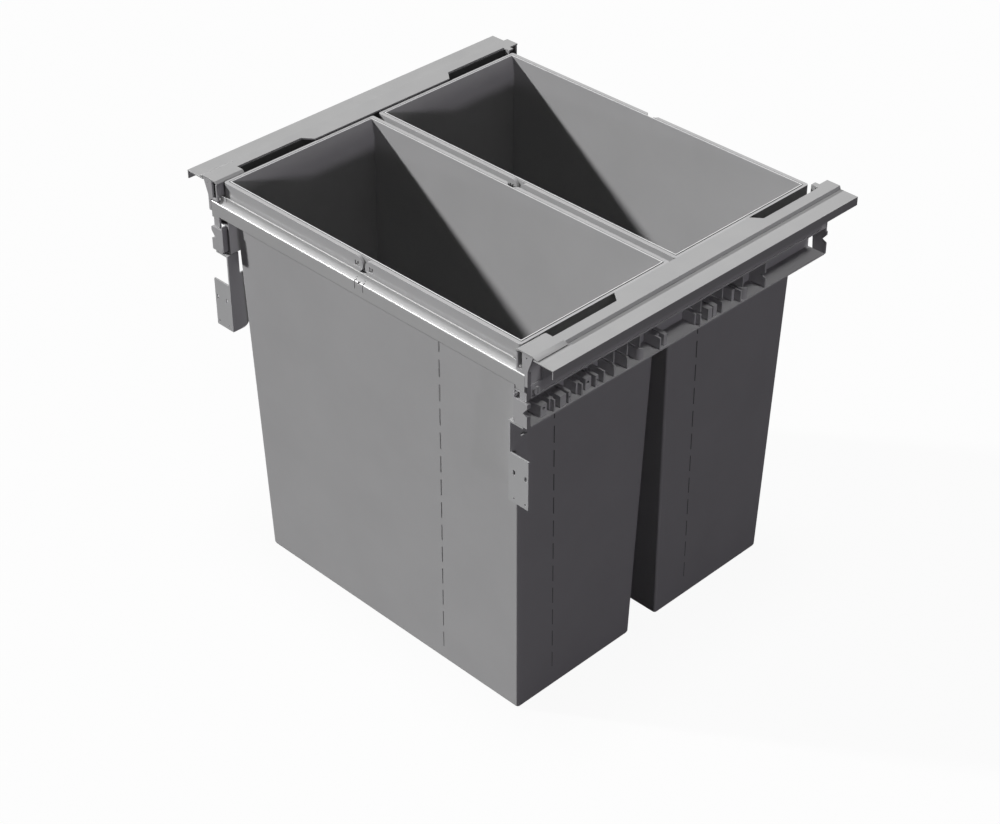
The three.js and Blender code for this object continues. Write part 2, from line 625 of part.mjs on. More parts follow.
// A rib that runs out from the web and curls to the back in a quarter turn.
function curledRib(side, place) {
  const centre = WEB_X + RIB_REACH - CURL_RADIUS;
  const inner = CURL_RADIUS - RIB_SHEET;
  const shape = new THREE.Shape();
  shape.moveTo(WEB_X - GAP, place);
  shape.lineTo(centre, place);
  shape.absarc(centre, place + CURL_RADIUS, CURL_RADIUS, -Math.PI / 2, 0, false);
  shape.absarc(centre, place + CURL_RADIUS, inner, 0, -Math.PI / 2, true);
  shape.lineTo(WEB_X - GAP, place + RIB_SHEET);
  shape.closePath();
  const points = shape.getPoints(6).map(({ x, y }) => [side * x, y]);
  return prism(side > 0 ? points : points.reverse(), 'xy', CHANNEL_FLOOR - GAP, CHANNEL_FLOOR + RIB_HEIGHT);
}

function bulkhead(side) {
  const reach = WEB_X + RIB_REACH;
  const outline = [
    [WEB_X - GAP, CHANNEL_FLOOR - GAP],
    [reach, CHANNEL_FLOOR - GAP],
    [reach, CHANNEL_FLOOR + RIB_HEIGHT - RIB_SHEET],
    [reach - BULKHEAD_NOTCH, CHANNEL_FLOOR + RIB_HEIGHT],
    [reach - 1, CHANNEL_FLOOR + RIB_HEIGHT + 2 * RIB_SHEET],
    [reach - 1, CHANNEL_ROOF + GAP],
    [WEB_X - GAP, CHANNEL_ROOF + GAP],
  ].map(([x, z]) => [side * x, z]);
  const place = CARRIAGE_DEPTH - BULKHEAD_SETBACK;
  return prism(outline, 'xz', place - RIB_SHEET / 2, place + RIB_SHEET / 2);
}

function socket(side, { place, height, reach, radius }) {
  return rod('x', radius, [side * (WEB_X + reach), place, CHANNEL_FLOOR + height], 2 * SOCKET_DEPTH, 12);
}

// Places along the channel: those given from the front plane, then those given from the back end.
function channelPlaces({ front, rear }) {
  return [...front, ...rear.map((setback) => CARRIAGE_DEPTH - setback)];
}

function channelMouldings(side) {
  const roof = CHANNEL_ROOF - CHANNEL_FLOOR + GAP;
  const low = [-GAP, RIB_HEIGHT];
  const high = [roof - ROOF_RIB_DROP, roof];
  return [
    ...channelPlaces(FLOOR_RIBS).map((place) => channelRib(side, place, RIB_REACH, RIB_SHEET, low)),
    ...FLOOR_BLOCKS.map(({ from, to, reach }) => channelBlock(side, from, to, reach, low)),
    ...REAR_BLOCKS.map(({ from, to, reach }) => (
      channelBlock(side, CARRIAGE_DEPTH - from, CARRIAGE_DEPTH - to, reach, low)
    )),
    ...channelPlaces(ROOF_RIBS).map((place) => channelRib(side, place, ROOF_RIB_REACH, ROOF_RIB_SHEET, high)),
    ...channelPlaces(CURLED_RIBS).map((place) => curledRib(side, place)),
    bulkhead(side),
  ];
}

function sideProfile(side) {
  const sheets = profileSheets().map(([x0, x1, z0, z1]) => block(
    [side * x0, side * x1],
    [PROFILE_SETBACK, PROFILE_END],
    [z0, z1],
  ));
  const holes = [
    ...SOCKETS.map((hole) => socket(side, hole)),
    ...Object.values(RUNNER_SCREW_PLACES).map((place) => runnerScrewHole(side, place)),
    bracketScrewHole(side),
    adjusterHole(side),
  ];
  return cut(joined([...sheets, ...channelMouldings(side)]), holes);
}

// ---- Covers -------------------------------------------------------------------------------------

function sideCover(side) {
  const inner = COVER_INNER_X;
  const grip = inner + GRIP_DEPTH;
  const frontEnd = GRIP_FRONT_START + GRIP_LENGTH;
  const rearEnd = CARRIAGE_DEPTH - GRIP_REAR_SETBACK;
  const rearStart = rearEnd - GRIP_LENGTH;
  const tongueEnd = rearEnd + TONGUE_LENGTH;
  const slopeX = COVER_OUTER_X - CAP_SLOPE_START;
  const edgeX = COVER_OUTER_X - COVER_EDGE_SLANT;
  const top = [
    [inner + COVER_EASE, 0],
    [slopeX, 0],
    [slopeX, CAP_LENGTH],
    [edgeX, CAP_LENGTH],
    [edgeX, CARRIAGE_DEPTH],
    [inner + TAIL_INSET, CARRIAGE_DEPTH],
    [inner + TAIL_INSET, tongueEnd],
    [inner + TONGUE_INSET, tongueEnd],
    [inner + TONGUE_INSET, rearEnd],
    [grip, rearEnd],
    [grip, rearStart],
    [inner, rearStart - GRIP_SLANT],
    [inner, frontEnd + GRIP_SLANT],
    [grip, frontEnd],
    [grip, GRIP_FRONT_START],
    [inner + COVER_EASE, GRIP_FRONT_START],
  ].map(([x, y]) => [side * x, y]);
  const flat = inner + COVER_EASE;
  const easeEnd = COVER_TOP - COVER_EASE_DROP;
  const ease = [
    [flat + COVER_SHEET, COVER_TOP],
    [flat, COVER_TOP],
    [inner, easeEnd],
    [inner, easeEnd - COVER_EDGE],
    [flat + COVER_SHEET, COVER_UNDER],
  ].map(([x, z]) => [side * x, z]);
  const edgeBottom = CABINET_TOP + GAP;
  const slopeEnd = COVER_OUTER_X + CAP_SLOPE_REACH;
  const slopeBottom = CABINET_TOP + CAP_SLOPE_LIFT;
  const slope = [
    [slopeX - COVER_EDGE, COVER_TOP],
    [slopeX, COVER_TOP],
    [slopeEnd, slopeBottom],
    [slopeEnd - COVER_SHEET, slopeBottom],
    [slopeX, COVER_UNDER],
    [slopeX - COVER_EDGE, COVER_UNDER],
  ].map(([x, z]) => [side * x, z]);
  const edge = [
    [edgeX - COVER_EDGE, COVER_TOP],
    [edgeX, COVER_TOP],
    [COVER_OUTER_X, edgeBottom],
    [COVER_OUTER_X - COVER_EDGE, edgeBottom],
  ].map(([x, z]) => [side * x, z]);
  return joined([
    prism(top, 'xy', COVER_UNDER, COVER_TOP),
    prism(slope, 'xz', 0, CAP_LENGTH),
    prism(ease, 'xz', 0, GRIP_FRONT_START),
    prism(edge, 'xz', CAP_LENGTH - GAP, CARRIAGE_DEPTH),
    block([side * (inner + TONGUE_INSET), side * (inner + TAIL_INSET)],
      [rearEnd, rearEnd + COVER_SHEET], [COVER_TOP - TONGUE_DROP, COVER_TOP]),
  ]);
}

// ---- End plates ---------------------------------------------------------------------------------

function blockOutline(side) {
  return [
    [RIM_X - BLOCK_INNER, below(BLOCK_TOP_DEPTH)],
    [RIM_X - BLOCK_INNER + BLOCK_LEAN, below(BLOCK_BOTTOM_DEPTH)],
    [RIM_X + BLOCK_REACH, below(BLOCK_BOTTOM_DEPTH)],
    [RIM_X + BLOCK_REACH, below(BLOCK_TOP_DEPTH + NOTCH_END_DROP)],
    [RIM_X + BLOCK_REACH - NOTCH_CUT, below(BLOCK_TOP_DEPTH + NOTCH_TIP_DROP)],
    [RIM_X + BLOCK_REACH, below(BLOCK_TOP_DEPTH + NOTCH_TOP_DROP)],
    [RIM_X + BLOCK_REACH, below(BLOCK_TOP_DEPTH + BLOCK_CHAMFER_DROP)],
    [RIM_X + BLOCK_REACH - BLOCK_CHAMFER, below(BLOCK_TOP_DEPTH)],
  ].map(([x, z]) => [side * x, z]);
}

const POST_TOP = COVER_TOP - COVER_EASE_DROP - COVER_EDGE - GAP;

// The funnel-shaped upper plate with the upright slot beside the cover.
function funnelOutline(side, bottom) {
  const top = COVER_UNDER - GAP;
  return [
    [RIM_X + FUNNEL_REACH, top],
    [RIM_X + FUNNEL_REACH - FUNNEL_LEAN, below(COVER_PROUD)],
    [RIM_X + FUNNEL_THROAT, below(FUNNEL_DEPTH)],
    [RIM_X + FUNNEL_THROAT, bottom],
    [RIM_X + SLOT_INNER - POST_WIDTH, bottom],
    [RIM_X + SLOT_INNER - POST_WIDTH, POST_TOP],
    [RIM_X + SLOT_INNER, POST_TOP],
    [RIM_X + SLOT_INNER, below(SLOT_DEPTH)],
    [RIM_X + SLOT_INNER + SLOT_WIDTH, below(SLOT_DEPTH)],
    [RIM_X + SLOT_INNER + SLOT_WIDTH, top],
  ].map(([x, z]) => [side * x, z]);
}

function fixingOutline(side) {
  const top = below(BRIDGE_DEPTH + EDGE_ROUND);
  const railBottom = below(APRON_DEPTH + APRON_TAB_DROP);
  const blockTop = below(BLOCK_TOP_DEPTH + EDGE_SETBACK);
  return [
    [RIM_X - BLOCK_INNER, top],
    [RIM_X + FUNNEL_THROAT, top],
    [RIM_X + FUNNEL_THROAT, below(WING_DEPTH)],
    [RIM_X + BLOCK_REACH - BLOCK_CHAMFER, below(BLOCK_TOP_DEPTH)],
    [RIM_X + BLOCK_REACH - BLOCK_CHAMFER, blockTop],
    [RIM_X + WINDOW_REACH, blockTop],
    [RIM_X + WINDOW_REACH, railBottom],
    [RIM_X - BLOCK_INNER, railBottom],
  ].map(([x, z]) => [side * x, z]);
}

// The fixing layer's plan: its outer edge slants back.
function fixingPlan(side) {
  const depth = PLATE_FRONT + PLATE_BACK;
  return [
    [RIM_X - BLOCK_INNER, PLATE_FRONT],
    [RIM_X + FUNNEL_THROAT - WING_BEVEL, PLATE_FRONT],
    [RIM_X + FUNNEL_THROAT, depth],
    [RIM_X - BLOCK_INNER, depth],
  ].map(([x, y]) => [side * x, y]);
}

function frontEndPlate(side) {
  const depth = PLATE_FRONT + PLATE_BACK;
  const railEnd = RIM_X + RAIL_OVERHANG + GAP;
  const railTop = below(PLATE_STEP_DEPTH);
  const upper = prism(funnelOutline(side, railTop), 'xz', 0, PLATE_FRONT);
  const strap = block(
    [side * railEnd, side * (RIM_X + FUNNEL_THROAT)],
    [0, depth],
    [below(THROAT_DEPTH), railTop + EDGE_SETBACK],
  );
  const fixing = prism(fixingOutline(side), 'xz', PLATE_FRONT, depth)
    .intersect(prism(fixingPlan(side), 'xy', CHANNEL_FLOOR, RIM_TOP));
  const foot = prism(blockOutline(side), 'xz', 0, depth);
  const postX = RIM_X + SLOT_INNER;
  const wall = block([side * (postX - POST_WIDTH), side * postX], [0, POST_DEPTH], [SEAT_TOP + GAP, POST_TOP]);
  const inner = RIM_X - BLOCK_INNER;
  const blockWall = block([side * inner, side * (inner + BLOCK_WALL)], [0, POST_DEPTH],
    [CHANNEL_FLOOR + GAP, CHANNEL_ROOF - GAP]);
  const pin = rod('y', PIN_HOLE_RADIUS, [side * (WALL_X + COVER_SHEET), 0, below(COVER_STEP)], 4 * PLATE_FRONT, 10);
  return cut(joined([upper, strap, fixing, foot, wall, blockWall]), [pin]);
}

function rearEndPlate(side) {
  const from = PROFILE_END + GAP;
  const to = CARRIAGE_DEPTH - GAP;
  const neck = RIM_X + BLOCK_REACH - BLOCK_CHAMFER_DROP;
  const spine = [
    [RIM_X - BLOCK_INNER, below(BLOCK_TOP_DEPTH)],
    [neck, below(BLOCK_TOP_DEPTH + BLOCK_CHAMFER_DROP)],
    [neck, below(FUNNEL_DEPTH)],
    [RIM_X + FUNNEL_REACH - BLOCK_CHAMFER, COVER_UNDER - GAP],
    [RIM_X + SLOT_INNER + SLOT_WIDTH, COVER_UNDER - GAP],
    [RIM_X + SLOT_INNER + SLOT_WIDTH, below(SLOT_DEPTH)],
    [RIM_X - BLOCK_INNER, below(SLOT_DEPTH)],
  ].map(([x, z]) => [side * x, z]);
  return joined([prism(spine, 'xz', from, to), prism(blockOutline(side), 'xz', from, to)]);
}

// ---- Door brackets ------------------------------------------------------------------------------

const BRACKET_FLANGE_TOP = CHANNEL_FLOOR - PROFILE_SHEET - GAP;

function armShape() {
  const shape = new THREE.Shape();
  const bottom = below(TAB_BOTTOM);
  shape.moveTo(0, BRACKET_FLANGE_TOP);
  shape.lineTo(0, bottom);
  shape.lineTo(ARM_DEPTH - ARM_CORNER, bottom);
  shape.absarc(ARM_DEPTH - ARM_CORNER, bottom + ARM_CORNER, ARM_CORNER, -Math.PI / 2, 0, false);
  shape.lineTo(ARM_DEPTH, below(NECK_END));
  shape.lineTo(NECK_DEPTH, below(NECK_END));
  shape.lineTo(NECK_DEPTH, BRACKET_FLANGE_TOP);
  shape.closePath();
  return shape;
}

// A slot with round ends, upright in the door tab.
function doorSlot(x) {
  const shape = new THREE.Shape();
  const half = DOOR_SLOT_LENGTH / 2 - DOOR_SLOT_RADIUS;
  const z = below(DOOR_SLOT_DEPTH);
  shape.absarc(x, z + half, DOOR_SLOT_RADIUS, 0, Math.PI, false);
  shape.absarc(x, z - half, DOOR_SLOT_RADIUS, Math.PI, 2 * Math.PI, false);
  shape.closePath();
  return prism(shape, 'xz', -1, BRACKET_SHEET + 1, 5);
}

function doorBracket(side) {
  const armX = RIM_X - BRACKET_INSET;
  const outX = armX + BRACKET_SHEET;
  const slotXs = [outX + DOOR_HOLE_INSET, outX + DOOR_HOLE_INSET + DOOR_SLOT_PITCH];
  const arm = prism(armShape(), 'yz', side * armX, side * outX);
  const tab = block([side * armX, side * (armX + TAB_REACH + BRACKET_SHEET)], [0, BRACKET_SHEET],
    [below(TAB_BOTTOM), below(TAB_TOP)]);
  const flange = block([side * armX, side * (armX + BRACKET_FLANGE_WIDTH)], [0, NECK_DEPTH],
    [BRACKET_FLANGE_TOP - BRACKET_SHEET, BRACKET_FLANGE_TOP]);
  const holes = slotXs.map((x) => rod('y', DOOR_HOLE_RADIUS,
    [side * x, BRACKET_SHEET / 2, below(DOOR_HOLE_DEPTH)], 2 * BRACKET_SHEET, 10));
  return cut(joined([arm, tab, flange]), [...slotXs.map((x) => doorSlot(side * x)), ...holes, bracketScrewHole(side)]);
}

// ---- Rails --------------------------------------------------------------------------------------

// A level rectangle of the rails' section, mirrored to a side and drawn along the rail.
function railSheet(side, [x0, x1], [z0, z1], from, to) {
  return block([side * x0, side * x1], [from, to], [z0, z1]);
}

function cabinetRail(side) {
  const track = TRACK_TOP - TRACK_HEIGHT;
  const inner = COVER_OUTER_X - COVER_LAP;
  return joined([
    railSheet(side, [inner, CABINET_X], [TRACK_TOP, CABINET_TOP], 0, CARRIAGE_DEPTH),
    railSheet(side, [CABINET_X - CABINET_SHEET, CABINET_X], [-CABINET_TOP, CABINET_TOP], 0, CARRIAGE_DEPTH),
    railSheet(side, [CABINET_WEB_X - TRACK_SHEET, CABINET_WEB_X], [track - TRACK_SHEET, CABINET_TOP],
      TRACK_SETBACK, TRACK_END),
    railSheet(side, [CABINET_WEB_X - CABINET_FLANGE, CABINET_WEB_X], [track - TRACK_SHEET, track],
      TRACK_SETBACK, TRACK_END),
  ]);
}

function middleRail(side) {
  const half = MIDDLE_HEIGHT / 2;
  const from = TRACK_SETBACK + BALL_GAP;
  const flangeX = [MIDDLE_WEB_X - MIDDLE_FLANGE, MIDDLE_WEB_X];
  return joined([
    railSheet(side, [MIDDLE_WEB_X - TRACK_SHEET, MIDDLE_WEB_X], [TRACK_MID - half, TRACK_MID + half], from, TRACK_END),
    railSheet(side, flangeX, [TRACK_MID + half - TRACK_SHEET, TRACK_MID + half], from, TRACK_END),
    railSheet(side, flangeX, [TRACK_MID - half, TRACK_MID - half + TRACK_SHEET], from, TRACK_END),
  ]);
}

function carriageRail(side) {
  const plate = railSheet(side, [RUNNER_X - RUNNER_PLATE, RUNNER_X], [SHELF_TOP + GAP, below(RUNNER_PLATE_TOP)],
    RUNNER_SETBACK, TRACK_END);
  const neck = railSheet(side, [RUNNER_X - GAP, RUNNER_BAR_X - GAP],
    [TRACK_MID - NECK_THICKNESS / 2, TRACK_MID + NECK_THICKNESS / 2], RUNNER_SETBACK, TRACK_END);
  const bar = railSheet(side, [RUNNER_BAR_X - RUNNER_BAR, RUNNER_BAR_X],
    [TRACK_MID - BAR_HEIGHT / 2, TRACK_MID + BAR_HEIGHT / 2], RUNNER_SETBACK, TRACK_END);
  const holes = Object.values(RUNNER_SCREW_PLACES).map((place) => runnerScrewHole(side, place));
  return cut(joined([plate, neck, bar]), holes);
}

// A cage strip with a row of balls above and below, in the gap outside the given half height.
function ballCage(side, webX, height, reach) {
  const row = height / 2 + BALL_GAP / 2;
  const half = CAGE_SHEET / 2;
  const web = railSheet(side, [webX - half, webX + half], [TRACK_MID - row - half, TRACK_MID + row + half],
    CAGE_START, CAGE_END);
  const ballX = webX - reach / 2;
  const pitch = (CAGE_END - CAGE_START) / BALLS_PER_ROW;
  const rows = [-1, 1].map((up) => {
    const z = TRACK_MID + up * row;
    const strip = railSheet(side, [webX - reach, webX + half], [z - half, z + half], CAGE_START, CAGE_END);
    const balls = Array.from({ length: BALLS_PER_ROW }, (_, i) => {
      const ball = new THREE.SphereGeometry(BALL_RADIUS, 6, 4);
      ball.translate(side * ballX, CAGE_START + (i + 0.5) * pitch, z);
      return solidOf(ball);
    });
    return joined([strip, ...balls]);
  });
  return joined([web, ...rows]);
}

function stopBuffer(side) {
  return railSheet(side, [RUNNER_X + NECK_LENGTH, MIDDLE_WEB_X],
    [TRACK_MID - BAR_HEIGHT / 2, TRACK_TOP - GAP], TRACK_END + GAP, TRACK_END + GAP + BUFFER_DEPTH);
}

// ---- Fasteners and adjusters --------------------------------------------------------------------

function runnerScrewHole(side, place) {
  return rod('x', SCREW_HOLE_RADIUS, [side * RUNNER_X, place, below(RUNNER_SCREW_DEPTH)], 2 * WALL_OFFSET / 3, 12);
}

// A pan-head screw with a square recess, its head outside the runner's plate.
function runnerScrew(side, place) {
  const z = below(RUNNER_SCREW_DEPTH);
  const headStart = RUNNER_X + GAP;
  const shankStart = WALL_X - PROFILE_SHEET - GAP;
  const shank = rod('x', SCREW_RADIUS, [side * (shankStart + headStart) / 2, place, z], headStart - shankStart + GAP, 12);
  const head = rod('x', SCREW_HEAD_RADIUS, [side * (headStart + SCREW_HEAD_HEIGHT / 2), place, z], SCREW_HEAD_HEIGHT, 16);
  const face = headStart + SCREW_HEAD_HEIGHT;
  const recess = block([side * (face - SCREW_RECESS), side * (face + 1)], [place - 1, place + 1], [z - 1, z + 1]);
  return cut(joined([shank, head]), [recess]);
}

const BRACKET_SCREW_X = RIM_X - BRACKET_INSET + BRACKET_FLANGE_WIDTH / 2;
const BRACKET_SCREW_Y = PROFILE_SETBACK + (NECK_DEPTH - PROFILE_SETBACK) / 2;

function bracketScrewHole(side) {
  return rod('z', SCREW_HOLE_RADIUS, [side * BRACKET_SCREW_X, BRACKET_SCREW_Y, BRACKET_FLANGE_TOP], 12, 12);
}

function bracketScrew(side) {
  const x = side * BRACKET_SCREW_X;
  const headTop = BRACKET_FLANGE_TOP - BRACKET_SHEET - GAP;
  const shankTop = CHANNEL_FLOOR + PROFILE_SHEET;
  const shank = rod('z', SCREW_RADIUS, [x, BRACKET_SCREW_Y, (headTop + shankTop - GAP) / 2], shankTop - headTop + GAP, 12);
  const head = rod('z', SCREW_HEAD_RADIUS, [x, BRACKET_SCREW_Y, headTop - SCREW_HEAD_HEIGHT / 2], SCREW_HEAD_HEIGHT, 16);
  const face = headTop - SCREW_HEAD_HEIGHT;
  const recess = block([x - 1, x + 1], [BRACKET_SCREW_Y - 1, BRACKET_SCREW_Y + 1], [face - 1, face + SCREW_RECESS]);
  return cut(joined([shank, head]), [recess]);
}

const SHELF_X = WEB_X + SHELF_WIDTH;

function adjusterHole(side) {
  return rod('x', ADJUSTER_AXLE + GAP / 2, [side * SHELF_X, ADJUSTER_PLACE, below(ADJUSTER_DEPTH)], 6 * PROFILE_SHEET, 16);
}

// A round cam on a short axle, turned with a screwdriver to raise or lower the carriage's front.
function heightAdjuster(side) {
  const z = below(ADJUSTER_DEPTH);
  const inner = SHELF_X + GAP;
  const outer = inner + ADJUSTER_THICKNESS;
  const disc = rod('x', ADJUSTER_RADIUS, [side * (inner + outer) / 2, ADJUSTER_PLACE, z], ADJUSTER_THICKNESS, 24);
  const axleStart = SHELF_X - 2 * PROFILE_SHEET;
  const axle = rod('x', ADJUSTER_AXLE, [side * (axleStart + outer) / 2, ADJUSTER_PLACE, z], outer - axleStart - GAP, 16);
  const slot = block([side * (outer - 1), side * (outer + 1)],
    [ADJUSTER_PLACE - 0.7, ADJUSTER_PLACE + 0.7], [z - ADJUSTER_RADIUS + 1, z + ADJUSTER_RADIUS - 1]);
  return cut(joined([disc, axle]), [slot]);
}

// ---- The whole unit -----------------------------------------------------------------------------

function sidePieces(name) {
  const side = SIDES[name];
  const pieces = new THREE.Group();
  pieces.add(
    meshOf(`cabinet_rail_${name}`, cabinetRail(side), 'runnerSteel'),
    meshOf(`stop_buffer_${name}`, stopBuffer(side), 'bufferRubber'),
    meshOf(`middle_rail_${name}`, middleRail(side), 'runnerSteel'),
    meshOf(`outer_ball_cage_${name}`,
      ballCage(side, MIDDLE_WEB_X + WEB_GAP / 2, MIDDLE_HEIGHT, MIDDLE_FLANGE - 3), 'cagePlastic'),
    meshOf(`inner_ball_cage_${name}`,
      ballCage(side, RUNNER_BAR_X + WEB_GAP / 2, BAR_HEIGHT, RUNNER_BAR), 'cagePlastic'),
    meshOf(`carriage_rail_${name}`, carriageRail(side), 'runnerSteel'),
    meshOf(`side_profile_${name}`, sideProfile(side), 'framePlastic'),
    meshOf(`side_cover_${name}`, sideCover(side), 'coverPaint'),
    meshOf(`front_end_plate_${name}`, frontEndPlate(side), 'framePlastic'),
    meshOf(`rear_end_plate_${name}`, rearEndPlate(side), 'framePlastic'),
    meshOf(`door_bracket_${name}`, doorBracket(side), 'frameSteel'),
    meshOf(`bracket_screw_${name}`, bracketScrew(side), 'screwSteel'),
    meshOf(`height_adjuster_${name}`, heightAdjuster(side), 'framePlastic'),
  );
  Object.entries(RUNNER_SCREW_PLACES).forEach(([end, place]) => {
    pieces.add(meshOf(`runner_screw_${end}_${name}`, runnerScrew(side, place), 'screwSteel'));
  });
  return pieces;
}

const unit = new THREE.Group();
unit.add(
  meshOf('front_rail', frontRail(), 'frameSteel'),
  meshOf('cross_bar', crossBar(), 'frameSteel'),
  meshOf('rear_rail', rearRail(), 'frameSteel'),
  meshOf('front_bin', bin(BIN_FRONTS[0]), 'binPlastic'),
  meshOf('rear_bin', bin(BIN_FRONTS[1]), 'binPlastic'),
  ...Object.keys(SIDES).map(sidePieces),
);

export default unit;
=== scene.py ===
"""Looks for a pull-out waste-bin unit: two tapered bins hanging in a carriage on ball-bearing rails."""

import math

import bmesh
import bpy
from bpy.props import FloatProperty, FloatVectorProperty, PointerProperty
from mathutils import Euler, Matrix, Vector


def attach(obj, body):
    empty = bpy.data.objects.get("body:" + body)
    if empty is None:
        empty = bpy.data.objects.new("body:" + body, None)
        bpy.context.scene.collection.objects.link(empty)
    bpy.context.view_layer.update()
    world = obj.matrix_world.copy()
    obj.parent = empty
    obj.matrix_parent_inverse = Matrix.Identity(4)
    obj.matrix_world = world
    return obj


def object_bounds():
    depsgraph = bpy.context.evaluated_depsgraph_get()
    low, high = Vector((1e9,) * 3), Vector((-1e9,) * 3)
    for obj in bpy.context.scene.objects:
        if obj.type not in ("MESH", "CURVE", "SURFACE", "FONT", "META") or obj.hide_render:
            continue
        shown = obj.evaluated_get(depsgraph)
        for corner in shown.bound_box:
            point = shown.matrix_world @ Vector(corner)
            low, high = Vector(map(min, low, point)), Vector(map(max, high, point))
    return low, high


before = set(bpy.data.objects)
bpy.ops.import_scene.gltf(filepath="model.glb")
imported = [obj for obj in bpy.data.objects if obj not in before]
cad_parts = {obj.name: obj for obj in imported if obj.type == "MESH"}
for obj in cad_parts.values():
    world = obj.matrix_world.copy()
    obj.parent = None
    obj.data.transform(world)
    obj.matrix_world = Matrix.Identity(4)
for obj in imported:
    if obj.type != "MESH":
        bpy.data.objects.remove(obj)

bl_info = {
    "name": "Pull-out waste unit",
    "version": (1, 0, 0),
    "blender": (4, 5, 0),
    "location": "View3D > Sidebar > Waste unit",
    "description": "Finishes, small mouldings and stage for a pull-out waste-bin unit",
    "category": "Add Mesh",
}

CAD_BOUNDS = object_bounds()
SIDES = {"left": -1, "right": 1}
MM = 0.001


# ---- Sizes and colours a user may change -------------------------------------------------------


def colour(name, description, value):
    return FloatVectorProperty(
        name=name,
        description=description,
        subtype="COLOR",
        size=3,
        min=0.0,
        max=1.0,
        default=value,
    )


def length(name, description, millimetres):
    return FloatProperty(
        name=name,
        description=description,
        subtype="DISTANCE",
        unit="LENGTH",
        min=0.0,
        default=millimetres * MM,
    )


class WASTE_PG_finishes(bpy.types.PropertyGroup):
    bin_plastic: colour("Bin plastic", "Colour of the two bins", (0.515, 0.513, 0.518))
    frame_plastic: colour("Frame plastic", "Colour of side profiles and end plates", (0.50, 0.497, 0.506))
    cover_paint: colour("Cover paint", "Colour of side covers and cabinet rails", (0.445, 0.445, 0.447))
    frame_paint: colour("Frame paint", "Colour of front rail and bars", (0.62, 0.62, 0.621))
    bracket_paint: colour("Bracket paint", "Colour of the door brackets", (0.53, 0.532, 0.537))
    # The seam colour is dark as painted shade along the witness lines.
    bin_seam: colour("Bin seams", "Colour of the dashed witness lines on the bins", (0.2, 0.2, 0.203))
    # The bead colour is pale as a painted highlight along each bin's mouth.
    bin_bead: colour("Bin beads", "Colour of the bead round a bin's mouth", (0.85, 0.85, 0.85))
    runner_steel: colour("Runner steel", "Colour of the bearing rails", (0.50, 0.50, 0.51))
    screw_steel: colour("Screw steel", "Colour of the screws", (0.56, 0.56, 0.57))
    cage_plastic: colour("Cage plastic", "Colour of the ball cages", (0.05, 0.05, 0.055))
    buffer_rubber: colour("Buffer rubber", "Colour of the rubber stops", (0.03, 0.03, 0.032))


class WASTE_PG_details(bpy.types.PropertyGroup):
    bin_edge: length("Bin edges", "Rounding of the bins' edges", 0.4)
    sheet_edge: length("Sheet edges", "Rounding of sheet metal and mouldings", 0.3)
    fine_edge: length("Fine edges", "Rounding of screws and cages", 0.12)
    seam_width: length("Seam width", "Width of the dashed witness lines on the bins", 0.7)
    seam_height: length("Seam height", "How far the witness lines stand out", 0.12)
    dash: length("Dash", "Length of one dash of a witness line", 22.0)
    dash_gap: length("Dash gap", "Space between two dashes", 10.0)
    bead_width: length("Bead width", "Width of the crown on the bead round a bin's mouth", 1.1)
    bead_height: length("Bead height", "Height of that crown", 0.2)


class WASTE_PG_stage(bpy.types.PropertyGroup):
    key: FloatProperty(name="Key", description="Strength of the lamp in front", min=0.0, default=3.2)
    top: FloatProperty(name="Top", description="Strength of the lamp above", min=0.0, default=1.7)
    fill: FloatProperty(
        name="Fill", description="Strength of the low lamp on the right", min=0.0, default=0.33
    )
    channel: FloatProperty(
        name="Channel", description="Strength of the light in the open channels", min=0.0, default=0.85
    )
    ambient: FloatProperty(name="Ambient", description="Light from all round", min=0.0, default=0.02)
    backdrop: FloatProperty(
        name="Backdrop", description="Whiteness of the background", min=0.0, max=1.0, default=0.982
    )


# ---- Shader node groups ------------------------------------------------------------------------


def new_group(name, inputs, outputs):
    """A shader node group with float inputs (name, default) and float outputs, and its two ends."""
    group = bpy.data.node_groups.new(name, "ShaderNodeTree")
    for label, default in inputs:
        socket = group.interface.new_socket(name=label, in_out="INPUT", socket_type="NodeSocketFloat")
        socket.default_value = default
    for label in outputs:
        group.interface.new_socket(name=label, in_out="OUTPUT", socket_type="NodeSocketFloat")
    return group, group.nodes.new("NodeGroupInput"), group.nodes.new("NodeGroupOutput")


def node(tree, kind, values=None, **settings):
    made = tree.nodes.new(kind)
    for key, value in settings.items():
        setattr(made, key, value)
    for key, value in (values or {}).items():
        made.inputs[key].default_value = value
    return made


def math_node(tree, operation, first, second=None, clamp=False):
    made = node(tree, "ShaderNodeMath", operation=operation, use_clamp=clamp)
    for index, value in enumerate((first, second)):
        if value is None:
            continue
        if isinstance(value, (int, float)):
            made.inputs[index].default_value = value
        else:
            tree.links.new(value, made.inputs[index])
    return made.outputs[0]


def noise(tree, coordinate, scale, detail, roughness=0.5):
    made = node(tree, "ShaderNodeTexNoise", {"Detail": detail, "Roughness": roughness})
    tree.links.new(coordinate, made.inputs["Vector"])
    if isinstance(scale, (int, float)):
        made.inputs["Scale"].default_value = scale
    else:
        tree.links.new(scale, made.inputs["Scale"])
    return made.outputs["Fac"]


def remap(tree, value, low, high, to_low=0.0, to_high=1.0):
    made = node(
        tree,
        "ShaderNodeMapRange",
        {"From Min": low, "From Max": high, "To Min": to_low, "To Max": to_high},
    )
    tree.links.new(value, made.inputs["Value"])
    return made.outputs["Result"]


